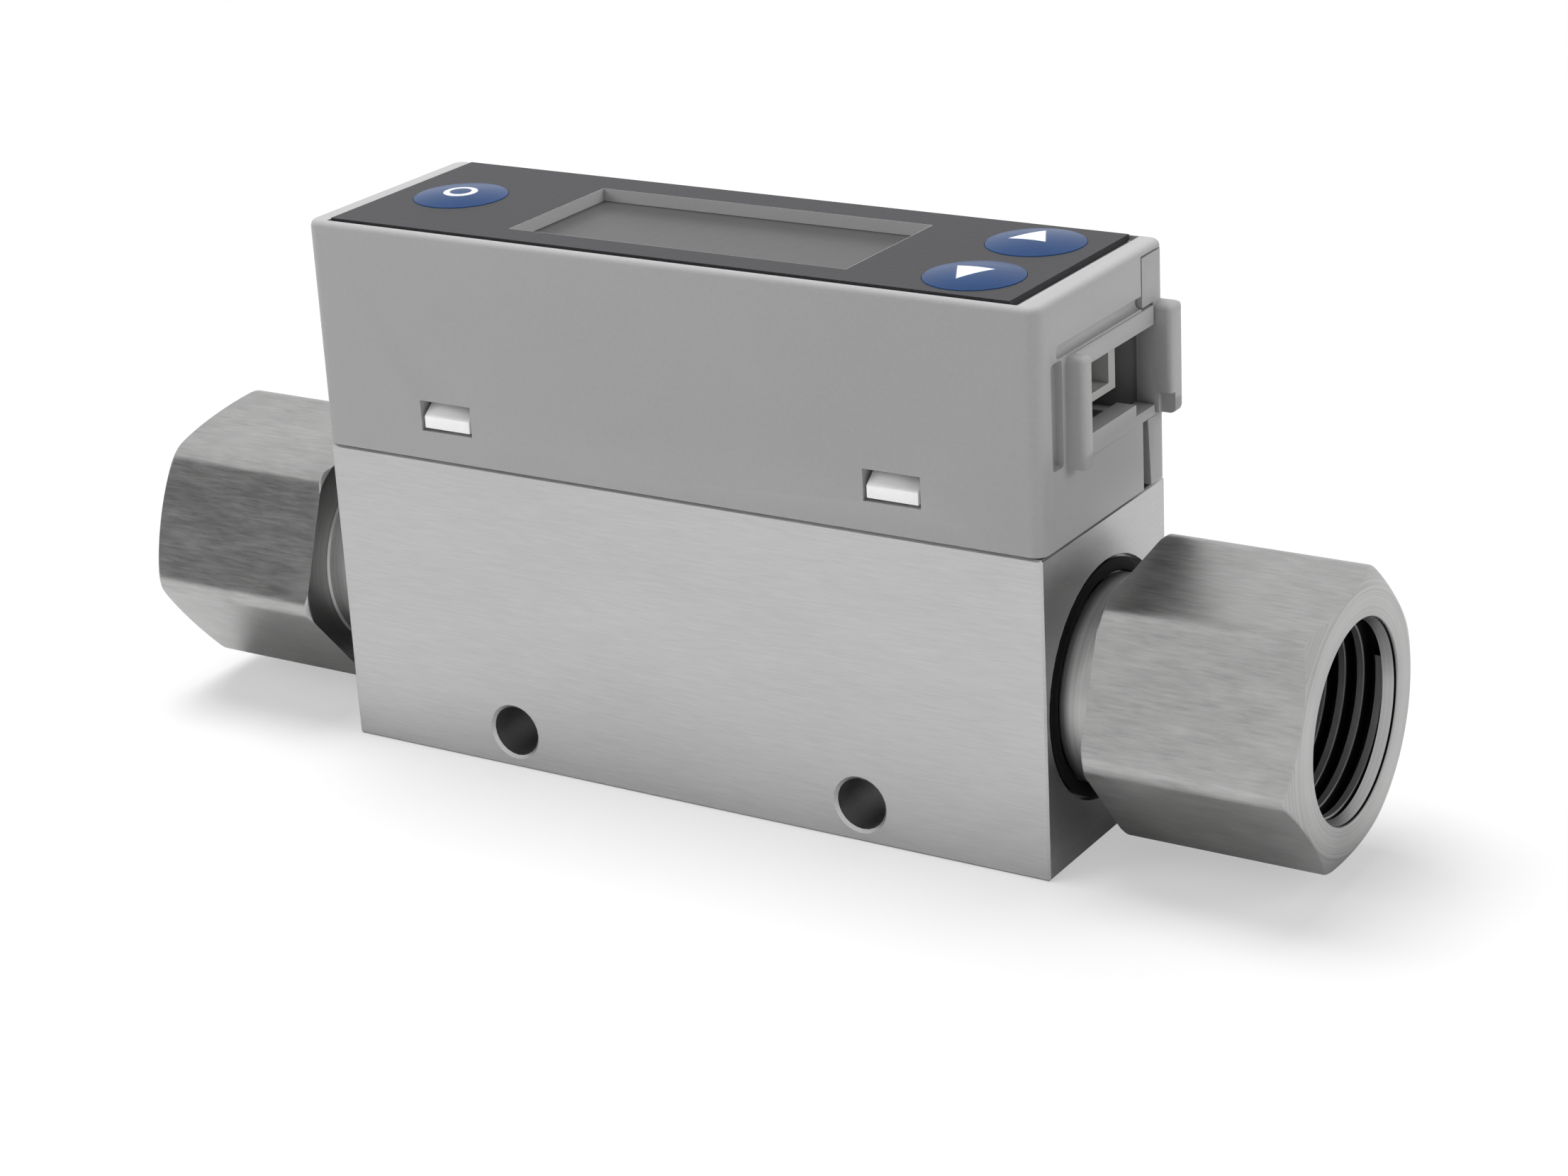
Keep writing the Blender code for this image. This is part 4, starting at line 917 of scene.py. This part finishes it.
class FLOWMETER_OT_keypad(bpy.types.Operator):
    """Make the keypad's grained film and the display below its window"""

    bl_idname = "flowmeter.keypad"
    bl_label = "Keypad film and display"

    def execute(self, context):
        colours = context.scene.flow_colours
        sizes = context.scene.flow_key
        film = merged_copy("keypad_overlay", "keypad_film", keypad_film(colours))
        hole = sizes.dome_radius + sizes.hole_gap
        for node, _, _ in KEYS.values():
            middle = box_of(node)[2]
            for corner in film.data.vertices:
                off = math.hypot(corner.co.x - middle.x, corner.co.y - middle.y)
                if abs(off - KEY_HOLE_RADIUS) < HAIR_GAP:
                    corner.co.x = middle.x + (corner.co.x - middle.x) * hole / off
                    corner.co.y = middle.y + (corner.co.y - middle.y) * hole / off
        smooth(film.data)
        hand_over(film, "dark_film", "keypad_overlay")
        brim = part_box("keypad_overlay")[1].z - LINING_SETBACK
        rings = []
        for inset, level in (
            (LINING_BACK, WINDOW_FOOT),
            (LINING_BACK, brim),
            (LINING_FACE, brim),
            (LINING_FACE, WINDOW_FOOT),
        ):
            x = WINDOW_HALF_LENGTH - inset
            y = WINDOW_HALF_WIDTH - inset
            rings.append([(a * x, WINDOW_MIDDLE_Y + b * y, level) for a, b in CORNERS])
        # The lining stands for the housing's window walls, and its lighter grey is painted light
        lining = skin_of_rings(
            "window_lining", rings, moulded("window_grey", colours.window_grey), wraps=True
        )
        hand_over(lining, "grey_plastic")
        coat(display_face(colours), "display_glass", "sensor_chip")
        return {"FINISHED"}


class FLOWMETER_OT_keys(bpy.types.Operator):
    """Make the three domed keys and their marks"""

    bl_idname = "flowmeter.keys"
    bl_label = "Press keys"

    def execute(self, context):
        sizes = context.scene.flow_key
        for key, (node, body, _) in KEYS.items():
            low, high, middle = box_of(node)
            flange = high.x - middle.x
            flange_top = low.z + KEY_FLANGE_TOP
            flange_foot = low.z + KEY_FLANGE_FOOT
            inner = sizes.dome_radius - sizes.edge_round
            dome = []
            for step in range(DOME_STEPS + 1):
                share = step / DOME_STEPS
                dome.append((inner * share, high.z - sizes.dome_rise * share**2))
            brow = []
            for step in range(1, BROW_STEPS + 1):
                turn = math.pi / 2 * step / BROW_STEPS
                drop = sizes.dome_rise + sizes.edge_round * (1.0 - math.cos(turn))
                brow.append((inner + sizes.edge_round * math.sin(turn), high.z - drop))
            foot = [
                (sizes.dome_radius, flange_top),
                (flange - BROKEN_EDGE, flange_top),
                (flange, flange_top - BROKEN_EDGE),
                (flange, flange_foot + BROKEN_EDGE),
                (flange - BROKEN_EDGE, flange_foot),
                (KEY_STEM_RADIUS, flange_foot),
                (KEY_STEM_RADIUS, low.z + BROKEN_EDGE),
                (KEY_STEM_RADIUS - BROKEN_EDGE, low.z),
                (0.0, low.z),
            ]
            rings = []
            for radius, z in dome + brow + foot:
                ring = []
                for turn in turns_of(sizes.steps if radius else 1):
                    x = middle.x + radius * math.cos(turn)
                    ring.append((x, middle.y + radius * math.sin(turn), z))
                rings.append(ring)
            material = key_gloss(context.scene.flow_colours, sizes, key)
            cap = skin_of_rings(f"{key}_key_cap", rings, material)
            hand_over(cap, "blue_gloss", node, body=body)
        return {"FINISHED"}


class FLOWMETER_OT_boards(bpy.types.Operator):
    """Finish the circuit boards and the parts on them"""

    bl_idname = "flowmeter.boards"
    bl_label = "Boards and contacts"

    def execute(self, context):
        colours = context.scene.flow_colours
        coat(board_mask(colours), "main_board", "display_board")
        black = moulded("part_black", colours.part_black, 0.45)
        coat(black, "processor", "board_header", "sensor_header", "sensor_carrier")
        coat(black, "set_switch", "up_switch", "down_switch")
        # The socket's grey is painted shade over its white plastic, darkening its cavity
        coat(moulded("socket_grey", colours.socket_grey, 0.45), "cable_socket")
        coat(seal_rubber(colours), "sensor_gasket")
        coat(tinned(colours), *[f"socket_pin_{index}" for index in range(1, 5)])
        return {"FINISHED"}


def screw_plan(material):
    """Geometry nodes that stand a cap screw with a hexagon socket on every point of a mesh."""
    plan, sizes = new_plan(
        "cap screws",
        ("Head Radius", "Head Height", "Shank Radius", "Shank Length", "Socket Radius", "Turn"),
        takes_mesh=True,
    )
    head = sizes["Head Radius"]
    height = sizes["Head Height"]
    shank_radius = sizes["Shank Radius"]
    shank_length = sizes["Shank Length"]
    socket_radius = sizes["Socket Radius"]

    def drum(radius, top, depth, foot, steps=sizes["Steps"]):
        cone = plan.node(
            "GeometryNodeMeshCone",
            inputs={"Vertices": steps, "Radius Top": top, "Radius Bottom": radius, "Depth": depth},
        )
        raised = plan.node("ShaderNodeCombineXYZ", inputs={2: foot})
        return plan.node("GeometryNodeTransform", inputs={"Geometry": cone, "Translation": raised})

    edge = height * HEAD_EDGE_SHARE
    rim = height - edge
    low_head = drum(head, head, rim, 0.0)
    high_head = drum(head, head - edge, edge, rim)
    shank = drum(shank_radius * SHANK_TIP_SHARE, shank_radius, shank_length, -shank_length)
    socket = drum(socket_radius, socket_radius, height, height * SOCKET_FLOOR_SHARE, SOCKET_SIDES)
    whole = plan.node("GeometryNodeMeshBoolean", {"operation": "UNION"}, {1: low_head})
    joining = whole.socket.node.inputs[1]
    plan.tree.links.new(high_head.socket, joining)
    plan.tree.links.new(shank.socket, joining)
    cut = plan.node("GeometryNodeMeshBoolean", {"operation": "DIFFERENCE"}, {0: whole, 1: socket})
    turn = plan.node("ShaderNodeCombineXYZ", inputs={0: sizes["Turn"]})
    stood = plan.node(
        "GeometryNodeInstanceOnPoints",
        inputs={"Points": sizes["Geometry"], "Instance": cut, "Rotation": turn},
    )
    return end_plan(plan, stood, material)


class FLOWMETER_OT_screws(bpy.types.Operator):
    """Make the cap screws that hold the chassis, the sensor and the boards"""

    bl_idname = "flowmeter.screws"
    bl_label = "Cap screws"

    def execute(self, context):
        sizes = context.scene.flow_screw
        tree = screw_plan(small_steel(context.scene.flow_colours))
        counts = {"chassis": 2, "sensor": 2, "board": 4, "display": 4}
        for group, count in counts.items():
            hangs = group == "display"
            nodes = [f"{group}_screw_{index}" for index in range(1, count + 1)]
            seats = []
            for low, high, middle in map(box_of, nodes):
                level = low.z + sizes.head_height if hangs else high.z - sizes.head_height
                seats.append((middle.x, middle.y, level))
            low, high, middle = box_of(nodes[0])
            points = bpy.data.meshes.new(f"{group}_screws")
            points.from_pydata(seats, [], [])
            screws = planned_piece(
                f"{group}_screws",
                tree,
                {
                    "Head Radius": high.x - middle.x,
                    "Head Height": sizes.head_height,
                    "Shank Radius": sizes.shank_radius,
                    "Shank Length": high.z - low.z - sizes.head_height,
                    "Socket Radius": sizes.socket_radius,
                    "Turn": math.pi if hangs else 0.0,
                    "Steps": sizes.steps,
                },
                points,
            )
            hand_over(screws, "screw_steel", *nodes)
        return {"FINISHED"}


def make_lamp(name, place, target, size, watts):
    """A soft square lamp aimed at a point."""
    lamp = bpy.data.lights.new(name, "AREA")
    lamp.shape = "SQUARE"
    lamp.size = size
    lamp.energy = watts
    holder = new_piece(name, lamp)
    holder.location = place
    holder.rotation_euler = (Vector(target) - Vector(place)).to_track_quat("-Z", "Y").to_euler()
    holder.visible_glossy = False


def ray_shares(graph):
    """1 for camera rays, and 1 for these and the reflected and transmitted rays."""
    rays = graph.node("ShaderNodeLightPath").socket.node.outputs
    camera, glossy, through = (
        Value(graph.tree, rays[name])
        for name in ("Is Camera Ray", "Is Glossy Ray", "Is Transmission Ray")
    )
    return camera, camera.greatest(glossy).greatest(through)


def empty_graph(owner):
    """The cleared node tree of a material or a world."""
    owner.use_nodes = True
    owner.node_tree.nodes.clear()
    return Graph(owner.node_tree)


def stage_sheet(name, corners):
    """A flat piece of the stage, and the graph of its new material."""
    mesh = bpy.data.meshes.new(name)
    mesh.from_pydata(corners, [], [(0, 1, 2, 3)])
    material = bpy.data.materials.new(name)
    mesh.materials.append(material)
    return new_piece(name, mesh), empty_graph(material)


def make_floor(stage):
    """A plain paper floor that fades to white away from the object and keeps its shadow."""
    corners = [(x * FLOOR_HALF_WIDTH, y * FLOOR_HALF_WIDTH, FLOOR_LEVEL) for x, y in CORNERS]
    floor, graph = stage_sheet("paper_floor", corners)
    paper = graph.node("ShaderNodeBsdfDiffuse", inputs={"Color": tuple(stage.floor_white)})
    white = graph.node("ShaderNodeEmission", inputs={"Color": WHITE, "Strength": 1.0})
    place = graph.node("ShaderNodeTexCoord", output="Object")
    away = graph.node("ShaderNodeVectorMath", {"operation": "LENGTH"}, {0: place}, output=1)
    fade = ((away - FADE_START) / FADE_LENGTH).clamped()
    camera, shown = ray_shares(graph)
    share = shown * (fade * (1.0 - NEAR_WHITE) + camera * NEAR_WHITE)
    mixed = graph.node("ShaderNodeMixShader", inputs={0: share, 1: paper, 2: white})
    graph.node("ShaderNodeOutputMaterial", inputs={"Surface": mixed})


def make_world(stage):
    """An even studio that shows as white and lights softly."""
    world = bpy.data.worlds.new("studio")
    bpy.context.scene.world = world
    graph = empty_graph(world)
    level = stage.ambience + ray_shares(graph)[1] * (1.0 - stage.ambience)
    light = graph.node("ShaderNodeBackground", inputs={"Color": WHITE, "Strength": level})
    graph.node("ShaderNodeOutputWorld", inputs={"Surface": light})


def make_card(name, place, target, width, height, grey):
    """A studio card that shows only in reflections, to give the metal its darker flats; set beside
    the object it is painted shade.
    """
    aim = (Vector(target) - Vector(place)).to_track_quat("-Z", "Y")
    flat = [Vector((x * width / 2, y * height / 2, 0.0)) for x, y in CORNERS]
    corners = [Vector(place) + aim @ corner for corner in flat]
    card, graph = stage_sheet(name, corners)
    shade = graph.node("ShaderNodeEmission", inputs={"Color": (grey, grey, grey, 1.0)})
    graph.node("ShaderNodeOutputMaterial", inputs={"Surface": shade})
    card.visible_camera = False
    card.visible_diffuse = False
    card.visible_shadow = False
    card.visible_transmission = False


class FLOWMETER_OT_stage(bpy.types.Operator):
    """Make the floor, the studio light and the camera at the photograph's angle"""

    bl_idname = "flowmeter.stage"
    bl_label = "Stage, light and camera"

    def execute(self, context):
        scene = context.scene
        stage = scene.flow_stage
        make_floor(stage)
        make_world(stage)
        middle = (0.0, 0.0, 0.025)
        make_lamp("top_lamp", (-0.25, 0.10, 1.0), middle, 0.7, stage.top_power)
        make_lamp("left_lamp", (-0.75, -0.75, 0.55), middle, 0.6, stage.left_power)
        make_lamp("right_lamp", (0.95, 0.25, 0.50), middle, 0.6, stage.right_power)
        make_card("left_card", (-0.37, -0.389, 0.107), (-0.054, -0.012, 0.018), 0.24, 0.30, 0.03)
        # Painted shade: two small cards beside the object, seen only in reflections, for the shaded
        # floor under the outlet fitting and the shaded end wall below the shroud
        make_card("floor_shade_card", (0.05, 0.0091, 0.0023), (0.05, -1.0, 0.0023), 0.019, 0.0046, 0.02)
        make_card("wall_shade_card", (0.0421, 0.0005, 0.036), (1.0, 0.0005, 0.036), 0.0235, 0.0074, 0.03)
        camera = new_piece("camera", bpy.data.cameras.new("camera"))
        camera.data.lens = stage.lens
        camera.data.sensor_width = 36.0
        right = Vector(CAMERA_RIGHT)
        up = Vector(CAMERA_UP)
        turned = Matrix((right, up, right.cross(up))).transposed().to_4x4()
        camera.matrix_world = Matrix.Translation(CAMERA_PLACE) @ turned
        camera.data.clip_start = 0.01
        scene.camera = camera
        scene.view_settings.view_transform = "Standard"
        return {"FINISHED"}


STEPS = (
    FLOWMETER_OT_fittings,
    FLOWMETER_OT_seals,
    FLOWMETER_OT_block,
    FLOWMETER_OT_housing,
    FLOWMETER_OT_chassis,
    FLOWMETER_OT_keypad,
    FLOWMETER_OT_keys,
    FLOWMETER_OT_boards,
    FLOWMETER_OT_screws,
    FLOWMETER_OT_stage,
)
GROUPS = {
    "flow_fitting": FlowMeterFittingSizes,
    "flow_key": FlowMeterKeySizes,
    "flow_screw": FlowMeterScrewSizes,
    "flow_colours": FlowMeterColours,
    "flow_stage": FlowMeterStageSettings,
}


class FLOWMETER_PT_panel(bpy.types.Panel):
    """The flow meter's steps and settings"""

    bl_label = "Flow Meter"
    bl_idname = "FLOWMETER_PT_panel"
    bl_space_type = "VIEW_3D"
    bl_region_type = "UI"
    bl_category = "Flow Meter"

    def draw(self, context):
        column = self.layout.column(align=True)
        for step in STEPS:
            column.operator(step.bl_idname)
        for name, group in GROUPS.items():
            box = self.layout.box()
            settings = getattr(context.scene, name)
            for setting in group.__annotations__:
                box.prop(settings, setting)


def register():
    """Registers the settings, the operators and the panel."""
    for name, group in GROUPS.items():
        bpy.utils.register_class(group)
        setattr(bpy.types.Scene, name, bpy.props.PointerProperty(type=group))
    for step in STEPS:
        bpy.utils.register_class(step)
    bpy.utils.register_class(FLOWMETER_PT_panel)


def unregister():
    """Removes what register added."""
    bpy.utils.unregister_class(FLOWMETER_PT_panel)
    for step in reversed(STEPS):
        bpy.utils.unregister_class(step)
    for name, group in reversed(GROUPS.items()):
        delattr(bpy.types.Scene, name)
        bpy.utils.unregister_class(group)


def main():
    """Makes every piece and the stage."""
    register()
    for step in STEPS:
        group, name = step.bl_idname.split(".")
        getattr(getattr(bpy.ops, group), name)()


if __name__ == "__main__":
    main()
